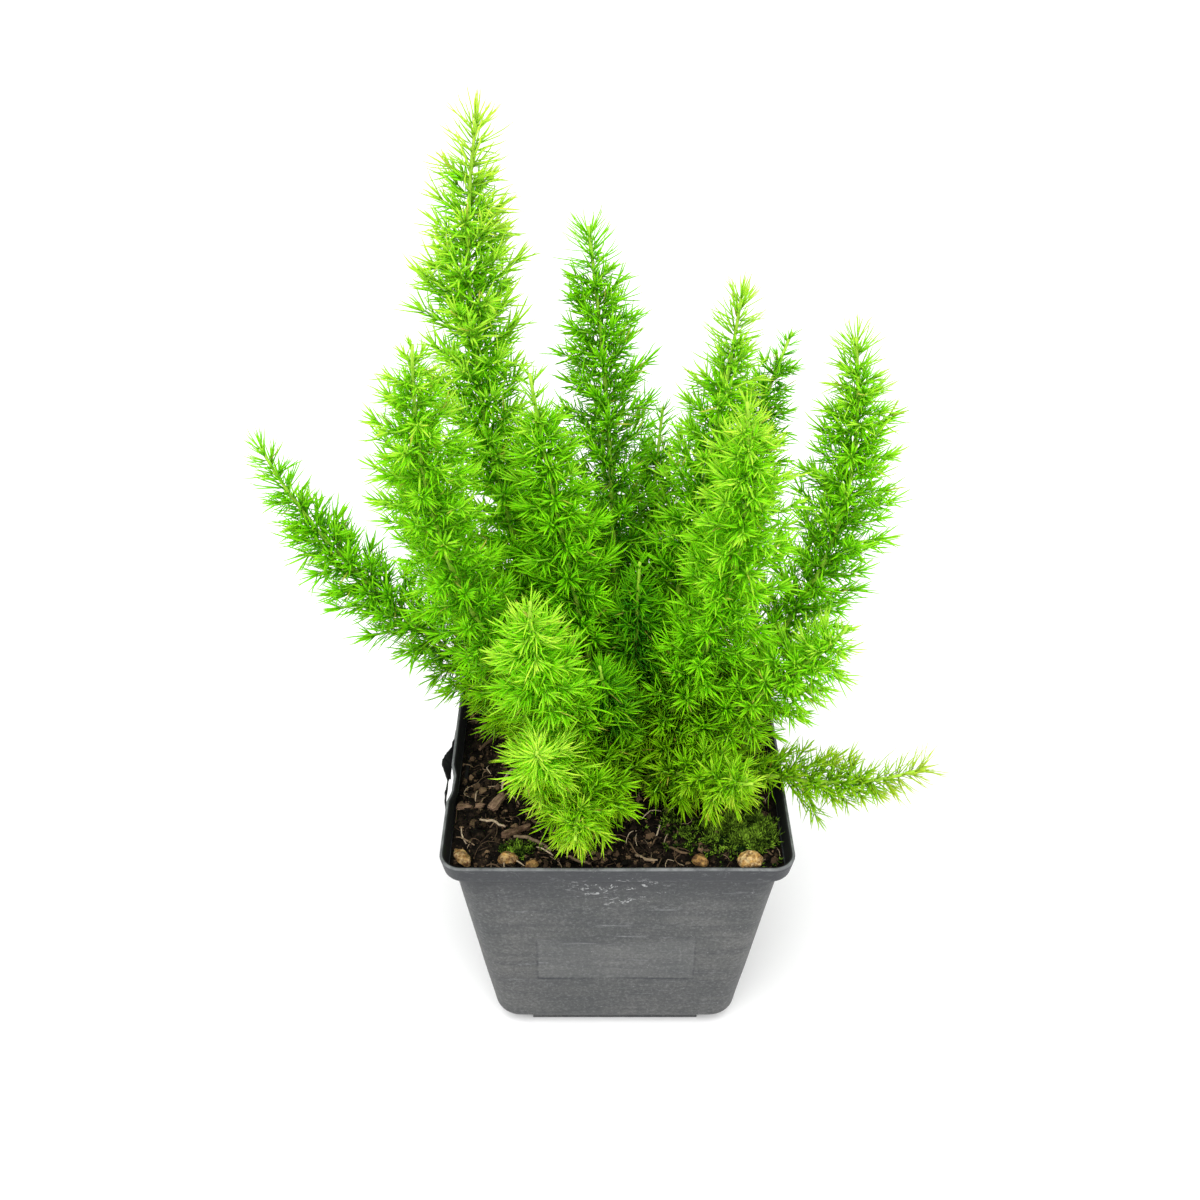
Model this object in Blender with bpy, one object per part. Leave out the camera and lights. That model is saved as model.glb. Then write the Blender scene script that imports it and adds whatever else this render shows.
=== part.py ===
"""A foxtail fern in a square nursery pot.

Metres, +Z up. The origin is the centre of the pot's foot, on the surface that the pot stands on,
and the front of the pot faces -Y. The pot, the potting mix, the root crown, each frond, the moss,
the pebbles and the bark chips are separate solids.
"""

import math
import random
from dataclasses import dataclass, field

import bmesh
import bpy
import numpy as np
from mathutils import Euler, Matrix, Vector
from mathutils.bvhtree import BVHTree

# Clearance between pieces that touch on the real plant.
GAP = 0.0003

# Pot: a tapered square cup with a wider collar.
POT_HEIGHT = 0.080
RIM_HALF = 0.0480
SKIRT_HALF = 0.0472
SKIRT_RISE = 0.0022
COLLAR_HEIGHT = 0.0075
SHOULDER_HALF = 0.0447
BASE_HALF = 0.0363
WALL = 0.0012
RIM_CORNER = 0.0063
BASE_CORNER = 0.0078
EDGE_ROUNDING = 0.0030
CORNER_STEPS = 4

# Foot: a flat plate under the floor, notched at the corners where the drain holes are.
FOOT_LIFT = 0.0030
FOOT_HALF = 0.0337
NOTCH_PLACE = 0.0305
NOTCH_RADIUS = 0.0062
DRAIN_PLACE = 0.0289
DRAIN_RADIUS = 0.0026

# Label field pressed into the front wall.
FIELD_WIDTH = 0.0455
FIELD_BOTTOM = 0.0248
FIELD_TOP = 0.0448
FIELD_BOW = 0.0022
FIELD_DEPTH = 0.0004

# Torn stretch of the collar on the left: its outer skin bows out and leaves a narrow gap to the wall.
TEAR_CENTRE_Y = -0.0060
TEAR_LENGTH = 0.0340
TEAR_DEPTH = 0.0037
TEAR_HEIGHT = 0.0043
TEAR_GAP_LENGTH = 0.0240
TEAR_GAP_DEPTH = 0.0015

# Potting mix.
SOIL_LEVEL = 0.0745
SOIL_CELL = 0.0080

# Root crown: a knot of rhizome with water-storing tubers under it.
CROWN_CENTRE = (0.0, 0.002, 0.060)
CROWN_RADII = (0.022, 0.020, 0.0065)
TUBER_COUNT = 5
TUBER_RADIUS = 0.0036
TUBER_LENGTH = 0.024
TUBER_RING = 0.014
TUBER_DROP = 0.011
TUBER_LEAN = math.radians(38)

# Fronds: stems with short branchlets all round, and needles in stars on both.
STEM_RADIUS = 0.0010
STEM_TIP_RADIUS = 0.0005
HOLE_CLEARANCE = 0.0004
STATION_SPACING = 0.0102
TIP_SPACING = 0.0042
TIP_STATIONS = 2
BAND_HEIGHT = 0.0017
STATION_TWIST = math.radians(40)
GOLDEN_ANGLE = math.radians(137.5)
BRANCH_HALF = 0.00042
BRANCH_RISE = math.radians(30)
BRANCH_SHORTEST = 0.0026
BRANCH_LONGEST = 0.0125
NEEDLE_LENGTH = 0.0082
NEEDLE_REACH = 0.0058
NEEDLE_RADIUS = 0.0006
NEEDLE_ANGLES = tuple(math.radians(angle) for angle in (56, 44, 68, 32))
NEEDLE_CUTS = (1.0, 0.82, 0.66)
NEEDLE_SHORTEST = 0.86
NEEDLE_LONGEST = 1.12
STEM_END = 0.75
TIP_FADE = 0.010
CONE_LENGTH = 0.065
CONE_TIP = 0.50
ROOT_SHARE = 0.35
NEEDLE_GAP = 0.00025
OWN_GAP = 0.00010
SEED = 11

# Room that needles leave: beside and above the rim, over what lies on the soil, and over bare soil.
RIM_BAND_INSIDE = 0.0430
RIM_BAND_OUTSIDE = 0.0516
RIM_HEADROOM = 0.0012
LITTER_INSIDE = 0.0200
LITTER_HEADROOM = 0.0050
SOIL_HEADROOM = 0.0025
GROUND_HEADROOM = 0.0012

PLANT = "potted_foxtail_fern"


@dataclass
class Frond:
    """A frond's route in metres: where it leaves the soil, where it bends to, and where its tip is."""

    name: str
    root: tuple
    bend: tuple
    tip: tuple
    plume: float
    rise: float = 0.022
    bare: float = 0.20
    places: np.ndarray = None
    tangents: np.ndarray = None
    mesh: object = None
    end: float = 0.0
    stations: list = field(default_factory=list)
    buds: list = field(default_factory=list)


def mm(*values):
    """Millimetres as metres."""
    return tuple(value / 1000 for value in values)


FRONDS = [
    Frond("frond_tall_left", mm(-9, 6), mm(-52, 10, 180), mm(-31, 18, 261), 0.0165),
    Frond("frond_tall_middle", mm(0, 11), mm(-3, 18, 172), mm(-8, 32, 234), 0.0170),
    Frond("frond_tall_right", mm(8, 6), mm(22, 9, 155), mm(28.5, 12, 222), 0.0160),
    Frond("frond_dark_right", mm(11, 12), mm(30, 24, 158), mm(48, 42, 196), 0.0135),
    Frond("frond_outer_right", mm(15, 3), mm(82, 4, 118), mm(57, 6, 217), 0.0165),
    Frond("frond_arching_left", mm(-15, 3), mm(-74, 8, 113), mm(-95.5, 12, 178), 0.0145),
    Frond("frond_front_left", mm(-10, -4), mm(-56, -17, 138), mm(-43.5, -30, 226), 0.0190),
    Frond("frond_inner_left", mm(-3, 0), mm(-15, -5, 152), mm(-22, -8, 211), 0.0155),
    Frond("frond_short_front", mm(-6, -9), mm(-25, -34, 125), mm(-20, -50, 173), 0.0150),
    Frond("frond_rosette_front", mm(-11, -10), mm(-23, -42, 106), mm(-19, -62, 136),
          0.0140, rise=0.016),
    Frond("frond_drooping_front", mm(-2, -13), mm(-13, -40, 96), mm(-11, -62, 100),
          0.0165, rise=0.020),
    Frond("frond_front_right", mm(9, -4), mm(39, -20, 138), mm(26.5, -36, 217), 0.0175),
    Frond("frond_low_right", mm(13, -8), mm(48, -20, 117), mm(58, -31, 152), 0.0160),
    Frond("frond_spreading_right", mm(17, -2), mm(55, -26, 75), mm(88, -26, 99),
          0.0125, rise=0.016, bare=0.30),
    Frond("frond_low_front_right", mm(8, -11), mm(32, -32, 92), mm(36, -47, 111),
          0.0135, rise=0.014),
    Frond("frond_centre_front", mm(1, -6), mm(-4, -20, 116), mm(-5, -30, 138),
          0.0125, rise=0.018, bare=0.30),
    Frond("frond_centre", mm(5, 1), mm(5, -3, 125), mm(6, -6, 156), 0.0130, bare=0.35),
    Frond("frond_back_middle", mm(5, 16), mm(9, 28, 130), mm(14, 50, 174), 0.0140),
    Frond("frond_back_outer_left", mm(-13, 9), mm(-60, 14, 142), mm(-58, 22, 188), 0.0140),
    Frond("frond_back_left", mm(-5, 13), mm(-22, 34, 140), mm(-40, 52, 158), 0.0135),
    Frond("frond_low_back", mm(0, 18), mm(-4, 46, 120), mm(-12, 72, 142), 0.0130),
    Frond("frond_back_right", mm(11, 18), mm(34, 40, 118), mm(52, 62, 138), 0.0130),
    Frond("frond_low_back_left", mm(-11, 15), mm(-42, 36, 106), mm(-66, 50, 126),
          0.0125, rise=0.020),
]

# Pebbles, on the soil over the shelf of the collar: name, centre, half lengths, turn about Z.
PEBBLES = [
    ("pebble_corner", mm(-42.2, -39.2), mm(3.9, 1.9, 1.6), math.radians(-52)),
    ("pebble_orange", mm(-29.7, -39.8), mm(3.1, 2.1, 1.7), math.radians(8)),
    ("pebble_small", mm(-23.2, -42.0), mm(2.2, 1.7, 1.4), math.radians(30)),
    ("pebble_brown", mm(22.7, -40.6), mm(2.4, 2.0, 1.6), math.radians(-20)),
    ("pebble_large", mm(36.1, -41.0), mm(3.9, 3.1, 2.3), math.radians(12)),
]
PEBBLE_LUMP = 0.08

# Bark chips: name, centre, length, width, turn about Z.
CHIPS = [
    ("bark_chip_tan", mm(-34.0, -17.3), 0.0070, 0.0034, math.radians(65)),
    ("bark_chip_light", mm(-41.5, -19.8), 0.0078, 0.0020, math.radians(4)),
    ("bark_chip_dark", mm(-28.0, -29.5), 0.0088, 0.0024, math.radians(28)),
    ("bark_chip_back", mm(31.0, 27.0), 0.0080, 0.0032, math.radians(-35)),
]
CHIP_THICKNESS = 0.0013
CHIP_END_TAPER = 0.62
CHIP_TOP_TAPER = 0.55

MOSS_CENTRE = mm(34.0, -30.0)
MOSS_RADII = mm(10.0, 7.0)
MOSS_THICKNESS = 0.0020
MOSS_CROWN = 1.12
MOSS_TUFT = 0.0016
MOSS_SIDES = 12
MOSS_RINGS = 3


def clear_scene():
    for item in list(bpy.data.objects):
        bpy.data.objects.remove(item, do_unlink=True)


def make_collection(name):
    collection = bpy.data.collections.new(name)
    bpy.context.scene.collection.children.link(collection)
    return collection


def make_material(name, colour, roughness, metallic=0.0):
    material = bpy.data.materials.new(name)
    material.use_nodes = True
    shader = material.node_tree.nodes["Principled BSDF"]
    shader.inputs["Base Color"].default_value = (*colour, 1.0)
    shader.inputs["Roughness"].default_value = roughness
    shader.inputs["Metallic"].default_value = metallic
    material.diffuse_color = (*colour, 1.0)
    return material


def make_object(name, mesh, collection, material=None, location=(0, 0, 0)):
    """Turns a bmesh into an object whose origin is the given location."""
    data = bpy.data.meshes.new(name)
    bmesh.ops.translate(mesh, verts=mesh.verts, vec=-Vector(location))
    bmesh.ops.recalc_face_normals(mesh, faces=mesh.faces)
    mesh.to_mesh(data)
    mesh.free()
    made = bpy.data.objects.new(name, data)
    made.location = location
    collection.objects.link(made)
    if material:
        data.materials.append(material)
    return made


def make_cutter(name, mesh, collection, location=(0, 0, 0)):
    cutter = make_object(name, mesh, collection, location=location)
    cutter.hide_render = True
    cutter.display_type = "WIRE"
    return cutter


def add_boolean(target, operation, operand=None, collection=None):
    modifier = target.modifiers.new(operation.lower(), "BOOLEAN")
    modifier.operation = operation
    modifier.solver = "EXACT"
    if collection:
        modifier.operand_type = "COLLECTION"
        modifier.collection = collection
    else:
        modifier.object = operand


def apply_modifiers(target):
    """Replaces an object's mesh by its evaluated one."""
    evaluated = target.evaluated_get(bpy.context.evaluated_depsgraph_get())
    data = bpy.data.meshes.new_from_object(evaluated)
    target.modifiers.clear()
    target.data = data


def rounded_square(half, corner, height):
    """Points around a square of the given half width, whose corners are arcs."""
    points = []
    for quarter in range(4):
        turn = quarter * math.pi / 2
        centre = Vector((half - corner, half - corner)) if corner < half else Vector((0, 0))
        for step in range(CORNER_STEPS + 1):
            angle = step / CORNER_STEPS * math.pi / 2
            x = centre.x + corner * math.cos(angle)
            y = centre.y + corner * math.sin(angle)
            turned_x = x * math.cos(turn) - y * math.sin(turn)
            turned_y = x * math.sin(turn) + y * math.cos(turn)
            points.append(Vector((turned_x, turned_y, height)))
    return points


def loft(rings):
    """A closed body through rings of points, with a flat face at each end."""
    mesh = bmesh.new()
    loops = [[mesh.verts.new(point) for point in ring] for ring in rings]
    for lower, upper in zip(loops, loops[1:]):
        for i in range(len(lower)):
            j = (i + 1) % len(lower)
            mesh.faces.new((lower[i], lower[j], upper[j], upper[i]))
    mesh.faces.new(reversed(loops[0]))
    mesh.faces.new(loops[-1])
    return mesh


def body_half(height):
    """Half width of the pot's outside below the collar."""
    share = (height - FOOT_LIFT) / (POT_HEIGHT - COLLAR_HEIGHT - FOOT_LIFT)
    return BASE_HALF + (SHOULDER_HALF - BASE_HALF) * share


def body_corner(height):
    """Corner radius of the pot's outside below the collar."""
    share = (height - FOOT_LIFT) / (POT_HEIGHT - COLLAR_HEIGHT - FOOT_LIFT)
    return BASE_CORNER + (RIM_CORNER - BASE_CORNER) * share


def cup_rings(inset, floor, rounding, top):
    """Rings of the cup's outside moved in by inset, from the floor up to the underside of the shelf."""
    rings = []
    for step in range(4):
        angle = step / 3 * math.pi / 2
        height = floor + rounding * (1 - math.cos(angle))
        pull = inset + rounding * (1 - math.sin(angle))
        corner = max(body_corner(height) - pull, 0.001)
        rings.append(rounded_square(body_half(height) - pull, corner, height))
    rings.append(rounded_square(body_half(top) - inset, body_corner(top) - inset, top))
    return rings


def notched_plate(name, half, notch_radius, bottom, top, collection):
    """A square plate whose corners are cut by round notches."""
    plate = bmesh.new()
    bmesh.ops.create_cube(plate, size=1)
    bmesh.ops.scale(plate, verts=plate.verts, vec=(2 * half, 2 * half, top - bottom))
    bmesh.ops.translate(plate, verts=plate.verts, vec=(0, 0, (top + bottom) / 2))
    made = make_cutter(name, plate, collection)
    low, high = bottom - WALL, top + WALL
    notches = cylinders(name + "_notches", NOTCH_PLACE, notch_radius, low, high, 16, collection)
    add_boolean(made, "DIFFERENCE", notches)
    return made


def cylinders(name, place, radius, bottom, top, sides, collection):
    """Four upright cylinders, one near each corner."""
    mesh = bmesh.new()
    for x in (-place, place):
        for y in (-place, place):
            bmesh.ops.create_cone(mesh, cap_ends=True, segments=sides, radius1=radius, radius2=radius,
                                  depth=top - bottom, matrix=Matrix.Translation((x, y, (top + bottom) / 2)))
    return make_cutter(name, mesh, collection)


def label_field(collection):
    """A flat block whose face is the label field, with a top edge that bows down in its middle."""
    mesh = bmesh.new()
    steps = 8
    outline = [(-FIELD_WIDTH / 2, FIELD_BOTTOM), (FIELD_WIDTH / 2, FIELD_BOTTOM)]
    for step in range(steps + 1):
        across = 1 - 2 * step / steps
        outline.append((across * FIELD_WIDTH / 2, FIELD_TOP - FIELD_BOW * math.cos(across * math.pi / 2)))
    depths = (-0.003, FIELD_DEPTH)
    front, back = ([mesh.verts.new((x, -body_half(z) + depth, z)) for x, z in outline] for depth in depths)
    mesh.faces.new(front)
    mesh.faces.new(reversed(back))
    for i in range(len(outline)):
        j = (i + 1) % len(outline)
        mesh.faces.new((front[j], front[i], back[i], back[j]))
    return make_cutter("label_field", mesh, collection)


def bowed_prism(name, chord, length, depth, bottom, top, collection):
    """An upright prism on the pot's left side, between a straight chord and a bow outside it."""
    mesh = bmesh.new()
    steps = 10
    outline = []
    for step in range(steps + 1):
        along = 2 * step / steps - 1
        outline.append((-chord - depth * math.cos(along * math.pi / 2), TEAR_CENTRE_Y + along * length / 2))
    low, high = ([mesh.verts.new((x, y, z)) for x, y in outline] for z in (bottom, top))
    mesh.faces.new(low)
    mesh.faces.new(reversed(high))
    for i in range(len(outline)):
        j = (i + 1) % len(outline)
        mesh.faces.new((low[j], low[i], high[i], high[j]))
    return make_cutter(name, mesh, collection)


def build_pot(collection, cutters):
    shelf_under = POT_HEIGHT - COLLAR_HEIGHT
    shelf_top = shelf_under + WALL
    lip = 0.0004
    outer = cup_rings(0.0, FOOT_LIFT, EDGE_ROUNDING, shelf_under)
    collar = [
        rounded_square(SKIRT_HALF, RIM_CORNER, shelf_under + SKIRT_RISE),
        rounded_square(RIM_HALF, RIM_CORNER, POT_HEIGHT - lip),
        rounded_square(RIM_HALF - lip, RIM_CORNER - lip, POT_HEIGHT),
        rounded_square(RIM_HALF - WALL + lip, RIM_CORNER - WALL + lip, POT_HEIGHT),
        rounded_square(RIM_HALF - WALL, RIM_CORNER - WALL, POT_HEIGHT - lip),
        rounded_square(SKIRT_HALF - WALL, RIM_CORNER - WALL, shelf_top),
    ]
    inner = cup_rings(WALL, FOOT_LIFT + WALL, EDGE_ROUNDING - WALL, shelf_top)
    colour = make_material("grey_nursery_plastic", (0.135, 0.142, 0.146), 0.55)
    pot = make_object("pot", loft(outer + collar + inner[::-1]), collection, colour)

    below, above = shelf_under - WALL, POT_HEIGHT + WALL
    floor_top = FOOT_LIFT + WALL
    skin = bowed_prism("torn_skin", SKIRT_HALF - WALL / 8, TEAR_LENGTH, TEAR_DEPTH,
                       POT_HEIGHT - TEAR_HEIGHT, POT_HEIGHT - lip, cutters)
    add_boolean(pot, "UNION", skin)
    foot = notched_plate("foot_plate", FOOT_HALF, NOTCH_RADIUS, 0.0, floor_top - GAP, cutters)
    add_boolean(pot, "UNION", foot)
    well = notched_plate("foot_well", FOOT_HALF - 2 * WALL, NOTCH_RADIUS + WALL, WALL, floor_top + GAP / 3,
                         cutters)
    add_boolean(pot, "DIFFERENCE", well)
    gap = bowed_prism("torn_gap", RIM_HALF, TEAR_GAP_LENGTH, TEAR_GAP_DEPTH, below, above, cutters)
    add_boolean(pot, "DIFFERENCE", gap)
    drains = cylinders("drain_holes", DRAIN_PLACE, DRAIN_RADIUS, -WALL, floor_top + 2 * WALL, 14, cutters)
    add_boolean(pot, "DIFFERENCE", drains)
    add_boolean(pot, "DIFFERENCE", label_field(cutters))
    return pot


def soil_height(x, y):
    """Height of the potting mix: a level surface with low, smooth lumps."""
    lumps = 0.0007 * math.sin(210 * x + 1.1) * math.cos(180 * y + 0.4)
    ripples = 0.0004 * math.sin(390 * x - 170 * y + 2.0)
    return SOIL_LEVEL + lumps + ripples


def soil_block():
    """A wide block whose top is the surface of the mix."""
    mesh = bmesh.new()
    cells = 2 * math.ceil(RIM_HALF / SOIL_CELL)
    half = cells * SOIL_CELL / 2
    bmesh.ops.create_grid(mesh, x_segments=cells, y_segments=cells, size=half)
    top = list(mesh.faces)
    grown = bmesh.ops.extrude_face_region(mesh, geom=top)["geom"]
    raised = {item for item in grown if isinstance(item, bmesh.types.BMVert)}
    for vertex in mesh.verts:
        vertex.co.z = soil_height(vertex.co.x, vertex.co.y) if vertex in raised else 0.0
    bmesh.ops.dissolve_limit(mesh, angle_limit=0.01, verts=[v for v in mesh.verts if v not in raised],
                             edges=[e for e in mesh.edges if not any(v in raised for v in e.verts)])
    return mesh


def filling():
    """The space inside the pot, clear of its walls, drawn up past the rim."""
    shelf_top = POT_HEIGHT - COLLAR_HEIGHT + WALL
    inside = cup_rings(WALL + GAP, FOOT_LIFT + WALL + GAP, EDGE_ROUNDING - WALL, shelf_top + GAP)
    inside.append(rounded_square(SKIRT_HALF - WALL - GAP, RIM_CORNER - WALL - GAP, shelf_top + GAP))
    inside.append(rounded_square(SKIRT_HALF - WALL - GAP, RIM_CORNER - WALL - GAP, POT_HEIGHT + WALL))
    return loft(inside)


def ellipsoid(mesh, radii, matrix, sides, rings):
    """Adds an ellipsoid with its poles on the matrix's Z axis."""
    shape = matrix @ Matrix.Diagonal((*radii, 1))
    bmesh.ops.create_uvsphere(mesh, u_segments=sides, v_segments=rings, radius=1, matrix=shape)


def crown_pieces(name, swell, collection):
    """The rhizome and its tubers, each swollen by the same amount, joined in one solid."""
    body = bmesh.new()
    ellipsoid(body, [radius + swell for radius in CROWN_RADII], Matrix.Translation(CROWN_CENTRE), 12, 6)
    joined = make_object(name, body, collection)
    tubers = make_collection(name + "_tubers")
    for index in range(TUBER_COUNT):
        turn = index * 2 * math.pi / TUBER_COUNT + 0.5
        offset = Vector((TUBER_RING * math.cos(turn), TUBER_RING * math.sin(turn), -TUBER_DROP))
        place = Vector(CROWN_CENTRE) + offset
        lean = Euler((0, math.pi - TUBER_LEAN, turn)).to_matrix().to_4x4()
        tuber = bmesh.new()
        radii = (TUBER_RADIUS + swell, TUBER_RADIUS + swell, TUBER_LENGTH / 2 + swell)
        ellipsoid(tuber, radii, Matrix.Translation(place) @ lean, 6, 5)
        make_object(f"{name}_tuber_{index}", tuber, tubers)
    add_boolean(joined, "UNION", collection=tubers)
    apply_modifiers(joined)
    for tuber in list(tubers.objects):
        bpy.data.objects.remove(tuber, do_unlink=True)
    bpy.data.collections.remove(tubers)
    return joined


def build_crown(collection):
    crown = crown_pieces("root_crown", 0.0, collection)
    crown.data.materials.append(make_material("pale_rhizome", (0.52, 0.38, 0.22), 0.8))
    return crown


def pebble_mesh(centre, radii, turn, swell, seed):
    """A lumpy ellipsoid whose lowest point is just above the shelf."""
    mesh = bmesh.new()
    bmesh.ops.create_icosphere(mesh, subdivisions=2, radius=1)
    phase = seed * 1.7
    for vertex in mesh.verts:
        direction = vertex.co.normalized()
        lump = 1 + PEBBLE_LUMP * math.sin(3 * direction.x + phase) * math.cos(2 * direction.y - phase)
        vertex.co = Vector([direction[axis] * (radii[axis] * lump + swell) for axis in range(3)])
    shelf_top = POT_HEIGHT - COLLAR_HEIGHT + WALL
    spot = Vector((*centre, shelf_top + GAP + radii[2] * (1 + PEBBLE_LUMP)))
    place = Matrix.Translation(spot) @ Matrix.Rotation(turn, 4, "Z")
    bmesh.ops.transform(mesh, matrix=place, verts=mesh.verts)
    return mesh, spot


def build_pebbles(collection, cutters):
    """The pebbles, and the sockets that they press in the soil."""
    stone = make_material("tan_stone", (0.42, 0.25, 0.11), 0.85)
    for index, (name, centre, radii, turn) in enumerate(PEBBLES):
        mesh, spot = pebble_mesh(centre, radii, turn, 0.0, index)
        make_object(name, mesh, collection, stone, spot)
        socket, spot = pebble_mesh(centre, radii, turn, GAP, index)
        make_cutter(name + "_socket", socket, cutters, spot)


def build_chips(collection):
    """Wedge-shaped bark chips that lie on the mix."""
    bark = make_material("bark", (0.33, 0.19, 0.09), 0.9)
    for name, centre, length, width, turn in CHIPS:
        mesh = bmesh.new()
        bmesh.ops.create_cube(mesh, size=1)
        for vertex in mesh.verts:
            narrow = CHIP_END_TAPER if vertex.co.x > 0 else 1.0
            thin = CHIP_TOP_TAPER if vertex.co.z > 0 else 1.0
            shape = (length, width * narrow * thin, CHIP_THICKNESS)
            vertex.co = Vector([vertex.co[axis] * shape[axis] for axis in range(3)])
        bmesh.ops.rotate(mesh, verts=mesh.verts, matrix=Matrix.Rotation(turn, 3, "Z"))
        highest = max(soil_height(centre[0] + vertex.co.x, centre[1] + vertex.co.y) for vertex in mesh.verts)
        spot = Vector((centre[0], centre[1], highest + CHIP_THICKNESS / 2 + GAP))
        bmesh.ops.translate(mesh, verts=mesh.verts, vec=spot)
        make_object(name, mesh, collection, bark, spot)


def build_moss(collection):
    """A low cushion whose top faces are drawn out into pointed tufts."""
    mesh = bmesh.new()
    seat = 2 * GAP
    top, under = [], []
    for ring in range(MOSS_RINGS, 0, -1):
        share = ring / MOSS_RINGS
        upper, lower = [], []
        for side in range(MOSS_SIDES):
            angle = 2 * math.pi * (side + 0.5 * ring) / MOSS_SIDES
            wave = 1 + 0.07 * math.sin(3 * angle)
            x = MOSS_CENTRE[0] + MOSS_RADII[0] * share * wave * math.cos(angle)
            y = MOSS_CENTRE[1] + MOSS_RADII[1] * share * wave * math.sin(angle)
            ground = soil_height(x, y) + seat
            upper.append(mesh.verts.new((x, y, ground + MOSS_THICKNESS * (MOSS_CROWN - share ** 2))))
            lower.append(mesh.verts.new((x, y, ground)))
        top.append(upper)
        under.append(lower)
    ground = soil_height(*MOSS_CENTRE) + seat
    peak = mesh.verts.new((*MOSS_CENTRE, ground + MOSS_CROWN * MOSS_THICKNESS))
    floor = mesh.verts.new((*MOSS_CENTRE, ground))
    tufts = []
    for side in range(MOSS_SIDES):
        after = (side + 1) % MOSS_SIDES
        for outer, inner in zip(top, top[1:]):
            tufts.append(mesh.faces.new((outer[side], outer[after], inner[side])))
            tufts.append(mesh.faces.new((outer[after], inner[after], inner[side])))
        for outer, inner in zip(under, under[1:]):
            mesh.faces.new((outer[side], inner[side], outer[after]))
            mesh.faces.new((outer[after], inner[side], inner[after]))
        tufts.append(mesh.faces.new((top[-1][side], top[-1][after], peak)))
        mesh.faces.new((under[-1][after], under[-1][side], floor))
        mesh.faces.new((under[0][side], under[0][after], top[0][after], top[0][side]))
    for tuft in tufts:
        centre = tuft.calc_center_median()
        outward = (centre - Vector((*MOSS_CENTRE, ground - MOSS_THICKNESS))).normalized()
        raise_point(mesh, tuft, centre + outward * MOSS_TUFT)
    moss = make_object("moss_cushion", mesh, collection, make_material("moss", (0.05, 0.13, 0.02), 0.95))
    return moss


def raise_point(mesh, face, point):
    """Draws a face out into a point."""
    bmesh.ops.poke(mesh, faces=[face])["verts"][0].co = point


class Clearances:
    """Straight tapered bodies placed so far, with the frond and the star that each belongs to."""

    def __init__(self, room=12000):
        self.count = 0
        self.starts = np.zeros((room, 3))
        self.ends = np.zeros((room, 3))
        self.radii = np.zeros((room, 2))
        self.owners = np.zeros((room, 2), int)

    def add(self, start, end, radii, frond, star):
        self.starts[self.count] = start
        self.ends[self.count] = end
        self.radii[self.count] = radii
        self.owners[self.count] = (frond, star)
        self.count += 1

    def is_clear(self, start, end, radii, frond, star):
        """Whether a tapered body keeps clear of all others. Near its root it may touch its own frond."""
        start = np.array(start)
        end = np.array(end)
        owners = self.owners[:self.count]
        own = owners[:, 0] == frond
        kin = own & (owners[:, 1] == star)
        if self.closest(start, end, radii, ~own) < NEEDLE_GAP:
            return False
        outer = start + ROOT_SHARE * (end - start)
        tapered = (radii[0] + ROOT_SHARE * (radii[1] - radii[0]), radii[1])
        return self.closest(outer, end, tapered, own & ~kin) > OWN_GAP

    def closest(self, start, end, radii, chosen):
        """Smallest gap to the chosen bodies, from the nearest points of two straight segments."""
        starts = self.starts[:self.count]
        ends = self.ends[:self.count]
        reach = np.linalg.norm(end - start) / 2 + np.linalg.norm(ends - starts, axis=1) / 2 + 0.004
        near = chosen & (np.linalg.norm((starts + ends) / 2 - (start + end) / 2, axis=1) < reach)
        if not near.any():
            return 1.0
        others, widths = starts[near], self.radii[:self.count][near]
        along = end - start
        across = ends[near] - others
        apart = start - others
        a = along @ along
        e = np.einsum("ij,ij->i", across, across)
        b = across @ along
        c = apart @ along
        f = np.einsum("ij,ij->i", across, apart)
        spread = np.maximum(a * e - b * b, 1e-18)
        s = np.clip((b * f - c * e) / spread, 0, 1)
        t = np.clip((b * s + f) / e, 0, 1)
        s = np.clip((b * t - c) / a, 0, 1)
        distance = np.linalg.norm(apart + s[:, None] * along - t[:, None] * across, axis=1)
        own_width = radii[0] + s * (radii[1] - radii[0])
        return (distance - own_width - widths[:, 0] - t * (widths[:, 1] - widths[:, 0])).min()


def clear_of_pot(start, end):
    """Whether a line stays above the rim and the things that lie on the soil, and above the ground."""
    for share in (0.0, 1 / 3, 2 / 3, 1.0):
        point = Vector(start).lerp(Vector(end), share)
        across = max(abs(point.x), abs(point.y))
        if across > RIM_BAND_OUTSIDE:
            floor = GROUND_HEADROOM
        elif across > RIM_BAND_INSIDE:
            floor = POT_HEIGHT + RIM_HEADROOM
        elif across > LITTER_INSIDE:
            floor = SOIL_LEVEL + LITTER_HEADROOM
        else:
            floor = SOIL_LEVEL + SOIL_HEADROOM
        if point.z < floor:
            return False
    return True


def lay_route(frond, crown_top):
    """Places and directions along a frond: straight up out of the crown, then a cubic curve to the tip."""
    x, y = frond.root
    leave = Vector((x, y, soil_height(x, y)))
    reach = Vector(frond.tip)
    corners = np.array([leave, leave + Vector((0, 0, frond.rise)), Vector(frond.bend), reach])
    t = np.linspace(0, 1, 200)[:, None]
    curve = (1 - t) ** 3 * corners[0] + 3 * (1 - t) ** 2 * t * corners[1]
    curve += 3 * (1 - t) * t ** 2 * corners[2] + t ** 3 * corners[3]
    buried = np.array([[x, y, crown_top(x, y) + GAP]])
    frond.places = np.vstack([buried, curve])
    frond.tangents = np.gradient(frond.places, axis=0)
    frond.tangents[0] = (0, 0, 1)
    frond.tangents /= np.linalg.norm(frond.tangents, axis=1)[:, None]


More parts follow.
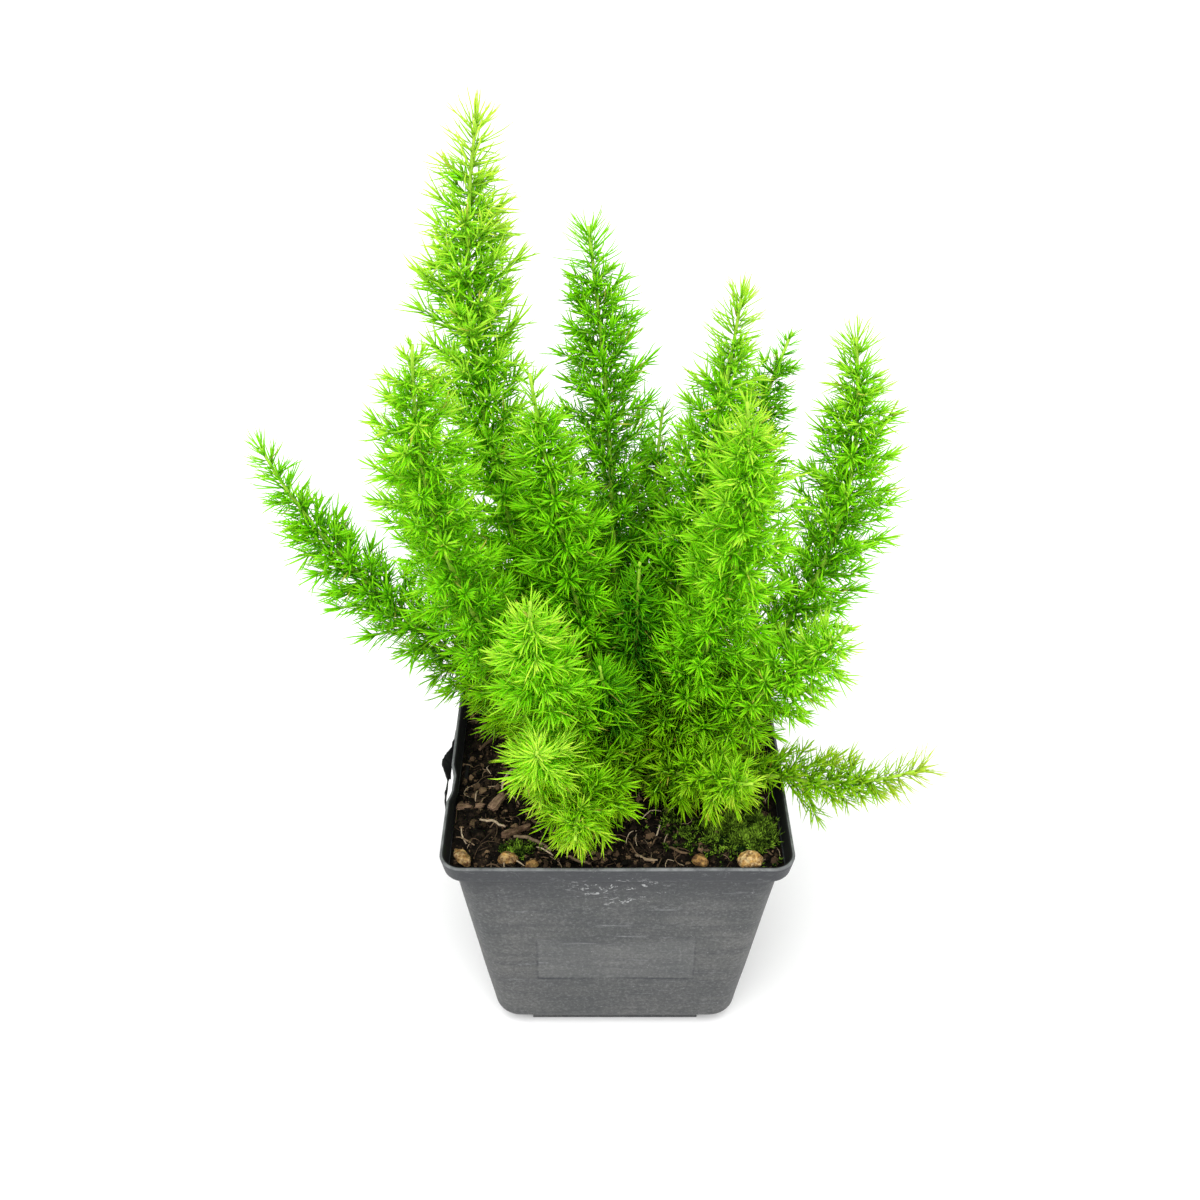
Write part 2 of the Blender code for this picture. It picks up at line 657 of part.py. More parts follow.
def station_lengths(frond):
    """Lengths along a frond where whorls stand: wide apart on the stem, close together at the tip."""
    steps = np.linalg.norm(np.diff(frond.places, axis=0), axis=1)
    lengths = np.concatenate([[0], np.cumsum(steps)])
    end = float(lengths[-1]) - STEM_END * NEEDLE_LENGTH
    first = float(lengths[1]) + frond.bare * (end - float(lengths[1]))
    last = end - TIP_STATIONS * TIP_SPACING
    count = max(2, round((last - first) / STATION_SPACING))
    wide = [first + (last - first) * index / count for index in range(count + 1)]
    close = [last + TIP_SPACING * (index + 1) for index in range(TIP_STATIONS)]
    return lengths, wide + close, end


def ring_at(place, tangent, side, radius, turn):
    """Four points around a stem."""
    other = tangent.cross(side)
    points = []
    for corner in range(4):
        angle = turn + corner * math.pi / 2
        points.append(place + radius * (math.cos(angle) * side + math.sin(angle) * other))
    return points


def grow_stem(frond, index, placed):
    """Lofts a four-sided stem with a short band at each station, and notes the faces of the bands."""
    lengths, stations, end = station_lengths(frond)

    def at(length):
        place = Vector([np.interp(length, lengths, frond.places[:, axis]) for axis in range(3)])
        tangent = Vector([np.interp(length, lengths, frond.tangents[:, axis]) for axis in range(3)])
        return place, tangent.normalized()

    surface = float(lengths[1])
    middle = (surface + stations[0]) / 2
    cuts = [(0.0, None), (surface, None), (middle, None)]
    for number, length in enumerate(stations):
        cuts += [(length - BAND_HEIGHT / 2, number), (length + BAND_HEIGHT / 2, number)]
    mesh = bmesh.new()
    side = Vector((1, 0, 0))
    turn = index * 0.7
    before = None
    for position, (length, number) in enumerate(cuts):
        place, tangent = at(length)
        side = (side - tangent * side.dot(tangent)).normalized()
        share = length / end
        radius = STEM_RADIUS + (STEM_TIP_RADIUS - STEM_RADIUS) * share
        opens = number is not None and cuts[position - 1][1] != number
        turn += STATION_TWIST if opens else 0.0
        ring = [mesh.verts.new(point) for point in ring_at(place, tangent, side, radius, turn)]
        if before:
            quads = []
            for corner in range(4):
                after = (corner + 1) % 4
                lower = before[1]
                quads.append(mesh.faces.new((lower[corner], lower[after], ring[after], ring[corner])))
            placed.add(before[0], place, (radius, radius), index, -1)
            if number is not None and not opens:
                centre = (before[0] + place) / 2
                frond.stations.append((stations[number], number, centre, tangent, side, turn, radius, quads))
        else:
            mesh.faces.new(reversed(ring))
        before = (place, ring)
    frond.mesh = mesh
    frond.buds.append((mesh.faces.new(before[1]), before[0], tangent, -1, True))
    frond.end = end


def plume_radius(frond, length):
    """Radius of the plume: a cone from the tip down to its full width, rounded off at the tip."""
    from_tip = frond.end + NEEDLE_LENGTH - length
    cone = CONE_TIP + (1 - CONE_TIP) * min(1.0, from_tip / CONE_LENGTH)
    return frond.plume * cone * (1 - math.exp(-from_tip / TIP_FADE))


def grow_branchlets(frond, index, placed):
    """Extrudes one branchlet from each station's band, turned by the golden angle from one to the next."""
    for length, number, centre, tangent, side, turn, radius, quads in frond.stations:
        reach = (plume_radius(frond, length) - NEEDLE_REACH) / math.cos(BRANCH_RISE)
        reach = min(reach, BRANCH_LONGEST)
        wanted = index + number * GOLDEN_ANGLE
        chosen = None
        if reach > BRANCH_SHORTEST:
            chosen = grow_branchlet(frond, index, placed, number, tangent, side, turn, quads, reach, wanted)
        for quad in quads:
            if quad is not chosen:
                frond.buds.append((quad, centre, tangent, number, False))


def grow_branchlet(frond, index, placed, number, tangent, side, turn, quads, reach, wanted):
    """Extrudes the free quad nearest the wanted direction into a branchlet, and returns that quad."""
    other = tangent.cross(side)

    def miss(corner):
        return -math.cos(turn + (corner + 0.5) * math.pi / 2 - wanted)

    for corner in sorted(range(4), key=miss)[:3]:
        angle = turn + (corner + 0.5) * math.pi / 2
        outward = math.cos(angle) * side + math.sin(angle) * other
        axis = math.cos(BRANCH_RISE) * outward + math.sin(BRANCH_RISE) * tangent
        up = math.cos(BRANCH_RISE) * tangent - math.sin(BRANCH_RISE) * outward
        start = quads[corner].calc_center_median()
        end = start + axis * reach
        tip = end + axis * NEEDLE_LENGTH / 2
        radii = (2 * BRANCH_HALF, BRANCH_HALF)
        if not clear_of_pot(start, tip) or not placed.is_clear(start, tip, radii, index, -1 - number):
            continue
        placed.add(start, end, radii, index, number)
        across = tangent.cross(outward)
        corners = (-across - up, across - up, across + up, up - across)
        face = quads[corner]
        for distance in (reach - BAND_HEIGHT, reach):
            middle = start + axis * distance
            ring = [middle + BRANCH_HALF * offset for offset in corners]
            face, sides = extrude_to(frond.mesh, face, ring)
        for quad in sides:
            frond.buds.append((quad, start + axis * (reach - BAND_HEIGHT / 2), axis, number, False))
        frond.buds.append((face, end, axis, number, True))
        return quads[corner]
    return None


def extrude_to(mesh, face, ring):
    """Extrudes a face, moves its corners to the ring, and returns it with the four new sides."""
    top = bmesh.ops.extrude_discrete_faces(mesh, faces=[face])["faces"][0]
    for corner, point in zip(top.verts, ring):
        corner.co = point
    sides = [other for edge in top.edges for other in edge.link_faces if other is not top]
    return top, sides


def grow_needles(frond, index, placed, draw):
    """Splits each bud's quad and draws the halves out into needles, where there is room for them."""
    for face, centre, axis, star, terminal in frond.buds:
        if not face.is_valid:
            continue
        if terminal:
            grow_needle(frond, index, placed, face, star, axis, axis, draw, (0.0,))
            continue
        for half in bmesh.ops.triangulate(frond.mesh, faces=[face])["faces"]:
            spot = half.calc_center_median() - centre
            outward = (spot - axis * spot.dot(axis)).normalized()
            grow_needle(frond, index, placed, half, star, axis, outward, draw, NEEDLE_ANGLES)


def grow_needle(frond, index, placed, face, star, axis, outward, draw, angles):
    """Draws one face out into a needle, at the first angle and length that keep clear of everything."""
    base = face.calc_center_median()
    length = NEEDLE_LENGTH * draw.uniform(NEEDLE_SHORTEST, NEEDLE_LONGEST)
    lean = math.radians(draw.uniform(-5, 5))
    for cut in NEEDLE_CUTS:
        for angle in angles:
            turned = angle + lean if angle else 0.0
            direction = math.sin(turned) * outward + math.cos(turned) * axis
            apex = base + direction * length * cut
            radii = (NEEDLE_RADIUS, 0.0)
            if clear_of_pot(base, apex) and placed.is_clear(base, apex, radii, index, star):
                placed.add(base, apex, radii, index, star)
                raise_point(frond.mesh, face, apex)
                return


def build_fronds(collection, crown):
    """All fronds: first every stem, then every branchlet, then the needles in the room that is left."""
    surface = BVHTree.FromObject(crown, bpy.context.evaluated_depsgraph_get())

    def crown_top(x, y):
        """The crown's highest point under a stem's square end."""
        offsets = (-STEM_RADIUS, STEM_RADIUS)
        corners = [Vector((x + a, y + b, POT_HEIGHT)) for a in offsets for b in offsets]
        hits = [surface.ray_cast(corner, Vector((0, 0, -1)))[0] for corner in corners]
        return max(hit.z for hit in hits if hit)

    placed = Clearances()
    draw = random.Random(SEED)
    for index, frond in enumerate(FRONDS):
        lay_route(frond, crown_top)
        grow_stem(frond, index, placed)
    for index, frond in enumerate(FRONDS):
        grow_branchlets(frond, index, placed)
    for index, frond in enumerate(FRONDS):
        grow_needles(frond, index, placed, draw)
    for index, frond in enumerate(FRONDS):
        shade = 0.75 + 0.25 * math.sin(index * 2.4)
        green = make_material(f"{frond.name}_green", (0.16 * shade, 0.42 * shade, 0.03 * shade), 0.6)
        make_object(frond.name, frond.mesh, collection, green, (*frond.root, SOIL_LEVEL))


def stem_holes(cutters):
    """Upright six-sided holes in the soil, from its surface down into the crown's hollow."""
    mesh = bmesh.new()
    bottom = CROWN_CENTRE[2]
    top = POT_HEIGHT
    radius = (STEM_RADIUS + HOLE_CLEARANCE) / math.cos(math.pi / 6)
    for frond in FRONDS:
        place = Matrix.Translation((*frond.root, (top + bottom) / 2))
        bmesh.ops.create_cone(mesh, cap_ends=True, segments=6, radius1=radius, radius2=radius,
                              depth=top - bottom, matrix=place)
    return make_cutter("stem_holes", mesh, cutters)


def build_soil(collection, cutters):
    """The potting mix: the inside of the pot up to the soil's surface, with hollows for the plant."""
    mix = make_material("potting_mix", (0.028, 0.018, 0.012), 1.0)
    soil = make_object("soil", soil_block(), collection, mix)
    add_boolean(soil, "INTERSECT", make_cutter("pot_filling", filling(), cutters))
    well = notched_plate("soil_well", FOOT_HALF - 3 * WALL, NOTCH_RADIUS + 2 * WALL, WALL + GAP,
                         FOOT_LIFT + WALL + 2 * GAP, cutters)
    add_boolean(soil, "UNION", well)
    hollow = crown_pieces("crown_hollow", GAP, cutters)
    hollow.hide_render = True
    hollow.display_type = "WIRE"
    add_boolean(soil, "DIFFERENCE", hollow)
    add_boolean(soil, "DIFFERENCE", stem_holes(cutters))
    for cutter in [item for item in cutters.objects if item.name.endswith("_socket")]:
        add_boolean(soil, "DIFFERENCE", cutter)
    return soil


def build():
    clear_scene()
    parts = make_collection(PLANT)
    cutters = make_collection("cutters")
    build_pot(parts, cutters)
    crown = build_crown(parts)
    build_pebbles(parts, cutters)
    build_chips(parts)
    build_moss(parts)
    build_soil(parts, cutters)
    build_fronds(parts, crown)
    base = bpy.data.objects.new("plant_base", None)
    parts.objects.link(base)
    for item in parts.objects:
        if item is not base:
            item.parent = base


build()
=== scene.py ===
"""A foxtail fern in a square nursery pot: its needles, potting mix, moss, stones and bark.

Metres, +Z up, in the frame of the solid model. The front of the pot faces -Y.
"""

import itertools
import math

import bpy
import numpy as np
from bpy.props import FloatProperty, FloatVectorProperty, IntProperty, PointerProperty
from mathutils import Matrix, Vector


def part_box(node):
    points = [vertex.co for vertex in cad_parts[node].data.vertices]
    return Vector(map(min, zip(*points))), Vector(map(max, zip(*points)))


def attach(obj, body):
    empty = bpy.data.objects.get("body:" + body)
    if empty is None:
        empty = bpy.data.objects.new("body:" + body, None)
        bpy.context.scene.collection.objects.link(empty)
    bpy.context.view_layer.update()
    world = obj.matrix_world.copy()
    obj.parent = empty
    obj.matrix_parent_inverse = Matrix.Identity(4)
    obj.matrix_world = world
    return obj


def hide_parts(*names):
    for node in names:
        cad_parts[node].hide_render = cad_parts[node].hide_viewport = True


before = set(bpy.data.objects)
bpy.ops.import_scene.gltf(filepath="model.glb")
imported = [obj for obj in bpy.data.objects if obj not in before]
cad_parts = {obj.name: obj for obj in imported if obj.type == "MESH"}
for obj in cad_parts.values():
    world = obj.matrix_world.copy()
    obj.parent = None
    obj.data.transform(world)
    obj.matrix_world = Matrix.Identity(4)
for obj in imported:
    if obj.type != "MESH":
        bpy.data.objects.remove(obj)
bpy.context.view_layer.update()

bl_info = {
    "name": "Potted Foxtail Fern",
    "version": (1, 0, 0),
    "blender": (4, 5, 0),
    "location": "3D View > Sidebar > Foxtail Fern",
    "description": "Grows a foxtail fern with its needles, in potting mix with moss, stones and bark",
    "category": "Add Mesh",
}

# The pot's walls and inside, and the mix, as the solid model has them.
RIM_HALF = 0.0480
RIM_TOP = 0.080
SHELF_TOP = 0.0737
SHOULDER_HALF = 0.0447
SHOULDER_HEIGHT = 0.0725
BASE_HALF = 0.0363
BASE_CORNER = 0.0078
RIM_CORNER = 0.0063
FLOOR_UNDER = 0.0030
WALL = 0.0012
COLLAR_INSIDE = 0.0460
SOIL_LEVEL = 0.0745
SOIL_BOTTOM = 0.0046
MIX_STEPS = 17
PIECE_GAP = 0.0003

# The pot's collar, foot, drain holes and label field, as the solid model has them.
COLLAR_LOW = 0.0747
SKIRT_HALF = 0.0472
LIP = 0.0004
EDGE_ROUNDING = 0.0030
FOOT_HALF = 0.0337
NOTCH_PLACE = 0.0305
NOTCH_RADIUS = 0.0062
DRAIN_PLACE = 0.0289
DRAIN_RADIUS = 0.0026
FIELD_HALF = 0.02275
FIELD_BOTTOM = 0.0248
FIELD_TOP = 0.0448
FIELD_BOW = 0.0022
FIELD_EDGE = 0.00045
FIELD_DEPTH = 0.00026
FIELD_MARGIN = 0.0008
TEAR_CENTRE_Y = -0.0060
TEAR_LENGTH = 0.0340
TEAR_LOW = 0.0757
TEAR_DENT = 0.0011
# Where along y the rim starts to be pushed in behind the torn skin, is wholly in, and comes out again.
DENT_STARTS = (-0.0215, -0.0180)
DENT_ENDS = (-0.0120, -0.0055)
# The walls' mean half width, which their bowing is set against, and the height where their rings start.
MEAN_HALF = 0.045
WALL_FOOT = 0.0062
# What lies in front of the first in y is the front wall, and left of the second in x the left one.
FRONT_FACE = -0.030
LEFT_FACE = -0.040

# Room that needles leave: beside and above the rim, over what lies on the mix, and over bare mix.
RIM_BAND_INSIDE = 0.0430
RIM_BAND_OUTSIDE = 0.0516
RIM_HEADROOM = 0.0010
LITTER_INSIDE = 0.0200
LITTER_HEADROOM = 0.0036
SOIL_HEADROOM = 0.0015
GROUND_HEADROOM = 0.0012

FLOOR_HALF = 15.0

# The turn from branchlet to branchlet, a whole turn, and the cells of the drift's lattice along each edge.
GOLDEN_ANGLE = math.radians(137.5)
TURN = 2 * math.pi
LATTICE = 32
# Needle length of the solid model's fronds, and the length over which a plume rounds off at its tip.
SOLID_NEEDLE = 0.0082
TIP_FADE = 0.010
# Points on a frond's curve, places where its joints are looked for, and lengths from ring to ring of its stem
# and from swelling to swelling.
CURVE_POINTS = 240
JOINT_SAMPLES = 900
STEM_STEP = 0.0026
SWELLING = 0.0025
# A plume's cone: its length on a long frond, the share of a short frond that it takes, and its tip's width.
CONE_LENGTH = 0.065
CONE_SHARE = 0.52
CONE_TIP = 0.42
# The shortest branchlet of a frond, and of the fronds with airy tips, where long needles take their place.
SHORT_BRANCHLET = 0.0034
AIRY_TIPS = {"frond_tall_left": 0.0062, "frond_tall_right": 0.0052, "frond_outer_right": 0.0052,
             "frond_tall_middle": 0.0044, "frond_arching_left": 0.0046, "frond_spreading_right": 0.0042}
# Length of the needles on a stem to the mean, and how far a branchlet's needles reach past its end.
STEM_NEEDLE = 1.10
NEEDLE_REACH = 0.0049
# Heights between which the needles' olive cast comes in, downwards.
OLIVE_TOP = 0.128
OLIVE_BOTTOM = 0.092
# Sections of a needle: their shares of its length, first and last its points, and their widths.
FULL_NEEDLE = (np.array([0.0, 0.17, 0.70, 1.0]), np.array([1.0, 0.80]))
PLAIN_NEEDLE = (np.array([0.0, 0.45, 1.0]), np.array([1.12]))
# Needles at a frond's very tip to full ones, and the length of stem over which they grow full.
YOUNGEST_NEEDLE = 0.62
TIP_GROWTH = 0.020
# How far branchlets rise from square to the stem: at the tip, low down, and besides near the very tip,
# with the length over which that fades.
BRANCH_RISE = math.radians(13)
LOW_BRANCH_RISE = math.radians(28)
TIP_CLOSING = 1.05
CLOSING_LENGTH = 0.0045
# Branchlets: random spread of their length and of the shortest one's, their bend towards the tip, and their
# radii at foot, middle and end.
BRANCHLET_SPREAD = (0.84, 1.14)
SHORTEST_SPREAD = (0.60, 1.25)
BRANCHLET_SWAY = 0.16
BRANCHLET_RADII = np.array([0.00036, 0.00028, 0.00018])
# Needles of a bunch and of a tuft: their lean in degrees, and their size; for a bunch also the turn from one
# to the next and the share that is kept; and how far apart they may start along the branchlet.
BUNCH_LEAN = 46.0
BUNCH_SIZE = 0.94
BUNCH_TURN = 2.2
BUNCH_KEPT = 0.94
BUNCH_DEPTH = 0.0011
TUFT_LEAN = 29.0
TUFT_SIZE = 0.92
# Random spread of needle lengths and widths, their bend towards the core, and their bend to any side.
LENGTH_SPREAD = (0.74, 1.12)
WIDTH_SPREAD = (0.82, 1.15)
CORE_BEND = 0.20
SIDE_BEND = 0.13

# Fronds, in millimetres: root on the mix, the point that the frond bends towards, its tip, the radius
# of its plume, how far it rises straight up; then the share of it that is bare, its tone from dark green
# at 0 to light green at 1, low on the fronds in the plant's middle and back for older needles and painted
# shade there, and the length of its needles to the mean.
FRONDS = {
    "frond_tall_left": ((-9, 6), (-50.5, 10, 180), (-31.5, 18, 264), 16.5, 22, 0.10, 0.88, 1.02),
    "frond_tall_middle": ((0, 11), (1, 18, 172), (-8.5, 32, 233), 17.5, 22, 0.10, 0.45, 0.84),
    "frond_tall_right": ((8, 6), (24.5, 9, 155), (30.5, 12, 222.5), 16, 22, 0.10, 0.75, 0.92),
    "frond_dark_right": ((11, 12), (33, 24, 162), (49.5, 42, 200), 16.5, 22, 0.10, 0.30, 0.84),
    "frond_outer_right": ((15, 3), (77, 4, 118), (56.5, 6, 214), 17, 22, 0.08, 0.65, 0.92),
    "frond_arching_left": ((-15, 3), (-74, 8, 117), (-95.5, 12, 180), 14.5, 22, 0.04, 0.50, 1.00),
    "frond_front_left": ((-10, -4), (-56, -17, 136), (-44.5, -30, 228), 19.5, 22, 0.05, 0.65, 0.80),
    "frond_inner_left": ((-3, 0), (-15, -5, 152), (-22, -8, 211), 15.5, 22, 0.08, 0.60, 0.95),
    "frond_short_front": ((-6, -9), (-25, -34, 125), (-20, -50, 173), 15, 22, 0.08, 0.74, 0.95),
    "frond_rosette_front": ((-11, -10), (-23, -42, 106), (-19, -62, 136), 13.5, 16, 0.12, 0.82, 0.90),
    "frond_drooping_front": ((-2, -13), (-13, -40, 97), (-10.5, -62, 100), 16.5, 20, 0.12, 0.60, 0.96),
    "frond_front_right": ((9, -4), (39, -20, 138), (26.5, -36, 217), 17.5, 22, 0.08, 0.72, 0.90),
    "frond_low_right": ((13, -8), (49, -20, 117), (59, -31, 152), 17, 22, 0.04, 0.70, 0.92),
    "frond_spreading_right": ((17, -2), (55, -26, 75), (89.5, -26, 100), 13, 16, 0.12, 0.80, 0.78),
    "frond_low_front_right": ((8, -11), (32, -32, 92), (36, -47, 111), 13.5, 14, 0.06, 0.66, 0.90),
    "frond_centre_front": ((1, -6), (-4, -20, 116), (-5, -30, 138), 12.5, 18, 0.08, 0.15, 0.98),
    "frond_centre": ((5, 1), (5, -3, 125), (6, -6, 156), 13.0, 22, 0.08, 0.10, 0.98),
    "frond_back_middle": ((5, 16), (9, 28, 130), (14, 50, 174), 14.0, 22, 0.10, 0.30, 0.98),
    "frond_back_outer_left": ((-13, 9), (-60, 14, 142), (-58, 22, 188), 14.0, 22, 0.10, 0.75, 0.98),
    "frond_back_left": ((-5, 13), (-22, 34, 140), (-40, 52, 158), 13.5, 22, 0.10, 0.30, 0.98),
    "frond_low_back": ((0, 18), (-4, 46, 120), (-12, 72, 142), 13.0, 22, 0.12, 0.35, 0.98),
    "frond_back_right": ((11, 18), (34, 40, 118), (52, 62, 138), 13.0, 22, 0.12, 0.35, 0.98),
    "frond_low_back_left": ((-11, 15), (-42, 36, 106), (-66, 50, 126), 12.5, 20, 0.12, 0.35, 0.98),
}

# Stones, in millimetres: centre, half lengths, turn in degrees; then how clean the stone is, from 0 to 1.
STONES = {
    "pebble_corner": ((-42.2, -39.2), (3.9, 1.9, 1.6), -52, 0.55),
    "pebble_orange": ((-29.7, -39.8), (3.1, 2.1, 1.7), 8, 0.45),
    "pebble_small": ((-23.2, -42.0), (2.2, 1.7, 1.4), 30, 0.15),
    "pebble_brown": ((22.7, -40.6), (2.4, 2.0, 1.6), -20, 0.10),
    "pebble_large": ((36.1, -41.0), (3.9, 3.1, 2.3), 12, 0.80),
}
STONE_LUMP = 0.08

# Bark chips, in millimetres: centre, length, width, turn in degrees; then paleness, from 0 to 1.
CHIPS = {
    "bark_chip_tan": ((-34.0, -17.3), 7.0, 3.4, 65, 0.75),
    "bark_chip_light": ((-41.5, -19.8), 7.8, 2.0, 4, 0.55),
    "bark_chip_dark": ((-28.0, -29.5), 8.8, 2.4, 28, 0.20),
    "bark_chip_back": ((31.0, 27.0), 8.0, 3.2, -35, 0.45),
}
CHIP_THICKNESS = 0.0013

MOSS_CENTRE = (0.0340, -0.0300)
MOSS_RADII = (0.0100, 0.0070)
MOSS_THICKNESS = 0.0020
MOSS_CLUMP = 0.0023
MOSS_BARE = -0.15
# Places where stray moss grows: centre, and spread in x and y.
STRAY_MOSS = [
    (0.0270, -0.0330, 0.0060, 0.0040), (0.0390, -0.0300, 0.0030, 0.0050), (0.0200, -0.0280, 0.0050, 0.0040),
    (-0.0275, -0.0365, 0.0018, 0.0012),
]

# Bits of bark that lie on the moss, in millimetres.
MOSS_BITS = [(31.0, -27.6), (32.2, -26.9), (33.1, -27.9), (29.9, -26.6), (38.6, -31.4), (27.6, -31.0)]

# Sticks on the mix, in millimetres: one end, the other end, radius, paleness from 0 to 1.
STICKS = [
    ((-28.5, -31.5), (-18.0, -36.0), 0.55, 0.55),
    ((-38.5, -24.0), (-31.0, -27.5), 0.40, 0.80),
    ((-33.0, -12.0), (-29.5, -3.0), 0.45, 0.95),
    ((-24.0, -24.0), (-16.0, -30.0), 0.45, 0.35),
    ((2.0, -43.6), (18.0, -43.9), 0.35, 0.95),
    ((5.0, -38.0), (11.0, -40.5), 0.50, 0.60),
    ((14.0, -35.0), (20.0, -37.0), 0.40, 0.45),
    ((-14.0, -38.0), (-7.0, -41.0), 0.40, 0.50),
    ((-41.0, 6.0), (-35.0, 14.0), 0.50, 0.40),
    ((-20.0, 38.0), (-9.0, 41.0), 0.50, 0.55),
    ((12.0, 36.0), (22.0, 40.0), 0.45, 0.70),
    ((38.0, 4.0), (41.5, 16.0), 0.50, 0.45),
    ((36.0, -12.0), (41.0, -6.0), 0.40, 0.65),
    ((-38.0, 27.0), (-30.0, 34.0), 0.45, 0.60),
]


def length_property(name, description, default):
    return FloatProperty(name=name, description=description, default=default, min=0.0, precision=5,
                         unit="LENGTH", subtype="DISTANCE")


def count_property(name, description, default):
    return IntProperty(name=name, description=description, default=default, min=1)


def colour_property(name, description, default):
    return FloatVectorProperty(name=name, description=description, default=default, size=3, min=0.0,
                               max=1.0, subtype="COLOR")


class FernFoliageSettings(bpy.types.PropertyGroup):
    """Sizes and greens of stems, branchlets and needles."""

    needle_length: length_property("Needle length", "Mean length of a needle", 0.0077)
    needle_width: length_property("Needle width", "Width of a full needle at its widest", 0.00052)
    needle_thickness: length_property("Needle thickness", "Thickness of a needle", 0.00038)
    joint_spacing: length_property("Joint spacing", "Stem length from joint to joint low down", 0.0013)
    tip_joint_spacing: length_property("Tip joint spacing", "The same at the tip", 0.0009)
    bunch_spacing: length_property("Bunch spacing", "Branchlet length from bunch to bunch", 0.0011)
    branchlet_longest: length_property("Longest branchlet", "Length that no branchlet passes", 0.0125)
    stem_radius: length_property("Stem radius", "Radius of a stem at the mix", 0.0010)
    stem_tip_radius: length_property("Stem tip radius", "Radius of a stem at its tip", 0.00042)
    sheaf: count_property("Needles in a sheaf", "Needles that leave the stem at one joint", 4)
    bunch: count_property("Needles in a bunch", "Needles round one place on a branchlet", 5)
    tuft: count_property("Needles in a tuft", "Needles at a branchlet's end", 7)
    # Also the dark end of the painted shade deep in the plume and on the fronds in the plant's middle and
    # back.
    mature_and_shade_green: colour_property("Mature green", "Needles low in the plant", (0.031, 0.215, 0.003))
    fresh_green: colour_property("Fresh green", "Needles on the sides of fronds", (0.225, 0.740, 0.004))
    young_green: colour_property("Young green", "Needles at the tips of fronds", (0.620, 0.930, 0.080))
    olive_cast: colour_property("Olive cast", "Tint of the needles near the rim", (1.0, 0.72, 0.90))
    dry_straw: colour_property("Dry straw", "The few dried needles", (0.480, 0.360, 0.080))
    stem_green: colour_property("Stem green", "Upper stems and branchlets", (0.400, 0.680, 0.045))
    stem_brown: colour_property("Stem brown", "Stems near the mix", (0.150, 0.130, 0.035))
    seed: count_property("Seed", "Seed of the random growth", 23)


class FernPotSettings(bpy.types.PropertyGroup):
    """Finish of the nursery pot."""

    plastic: colour_property("Plastic", "Main grey of the moulded plastic", (0.058, 0.061, 0.060))
    # The collar's darker grey, also used for the painted shade along the label field's sunken edge.
    rim_plastic_and_edge_shade: colour_property("Rim plastic", "Darker, bluer grey of the collar", (0.026, 0.028, 0.033))
    # Near black of the pot's inside: partly wet-soil stain, partly painted shade.
    stained_and_shaded: colour_property("Stained plastic", "Wet, soil-stained inside of the pot", (0.008, 0.008, 0.009))
    # Lime marks and scuffs, and also the painted highlight on the top of the lip.
    chalk_and_lip_highlight: colour_property("Chalk", "Lime marks and scuffs", (0.420, 0.430, 0.430))
    dust: colour_property("Dust", "Soil dust in the lower grain", (0.101, 0.101, 0.098))
    grain_size: length_property("Grain size", "Size of the plastic's fine grain", 0.00045)


class FernSoilSettings(bpy.types.PropertyGroup):
    """Potting mix and what lies on it."""

    grains: count_property("Grains", "Finest bits of peat and grit", 4800)
    crumbs: count_property("Crumbs", "Small lumps of peat", 2500)
    clods: count_property("Clods", "Larger lumps and bark bits", 330)
    fibres: count_property("Fibres", "Fine root and coir fibres", 330)
    litter: count_property("Litter", "Fallen dry needles", 80)
    # Wet peat, and also the painted shade in the hollows of the mix's relief.
    dark_peat: colour_property("Dark peat", "Wet peat", (0.0036, 0.0026, 0.0018))
    brown_peat: colour_property("Brown peat", "Drier peat", (0.034, 0.022, 0.014))
    tan_fibre: colour_property("Tan fibre", "Fibres and bark bits", (0.260, 0.165, 0.090))
    pale_fibre: colour_property("Pale fibre", "Straw and roots", (0.560, 0.450, 0.310))
    seed: count_property("Seed", "Seed of the scattering", 5)


class FernMossSettings(bpy.types.PropertyGroup):
    """Moss on the mix."""

    shoots: count_property("Shoots", "Moss shoots on the cushion", 640)
    strays: count_property("Stray shoots", "Moss shoots on the mix round the cushion", 340)
    shoot_height: length_property("Shoot height", "Height of a shoot over the cushion", 0.0025)
    dark_green: colour_property("Dark green", "Depth of the moss", (0.004, 0.014, 0.002))
    bright_green: colour_property("Bright green", "Tips of the moss", (0.280, 0.490, 0.036))
    seed: count_property("Seed", "Seed of the shoots", 9)


class FernStoneSettings(bpy.types.PropertyGroup):
    """Stones and bark chips."""

    tan_stone: colour_property("Tan stone", "Main colour of the stones", (0.520, 0.290, 0.085))
    rust_stone: colour_property("Rust stone", "Rusty patches and pits of the stones", (0.150, 0.060, 0.015))
    pale_stone: colour_property("Pale stone", "Worn edges of the stones", (0.800, 0.600, 0.310))
    bark_tan: colour_property("Bark tan", "Torn face of the bark", (0.430, 0.280, 0.180))
    bark_dark: colour_property("Bark dark", "Grain and edges of the bark", (0.055, 0.028, 0.015))
    root_cream: colour_property("Root cream", "Skin of the root crown", (0.520, 0.380, 0.220))


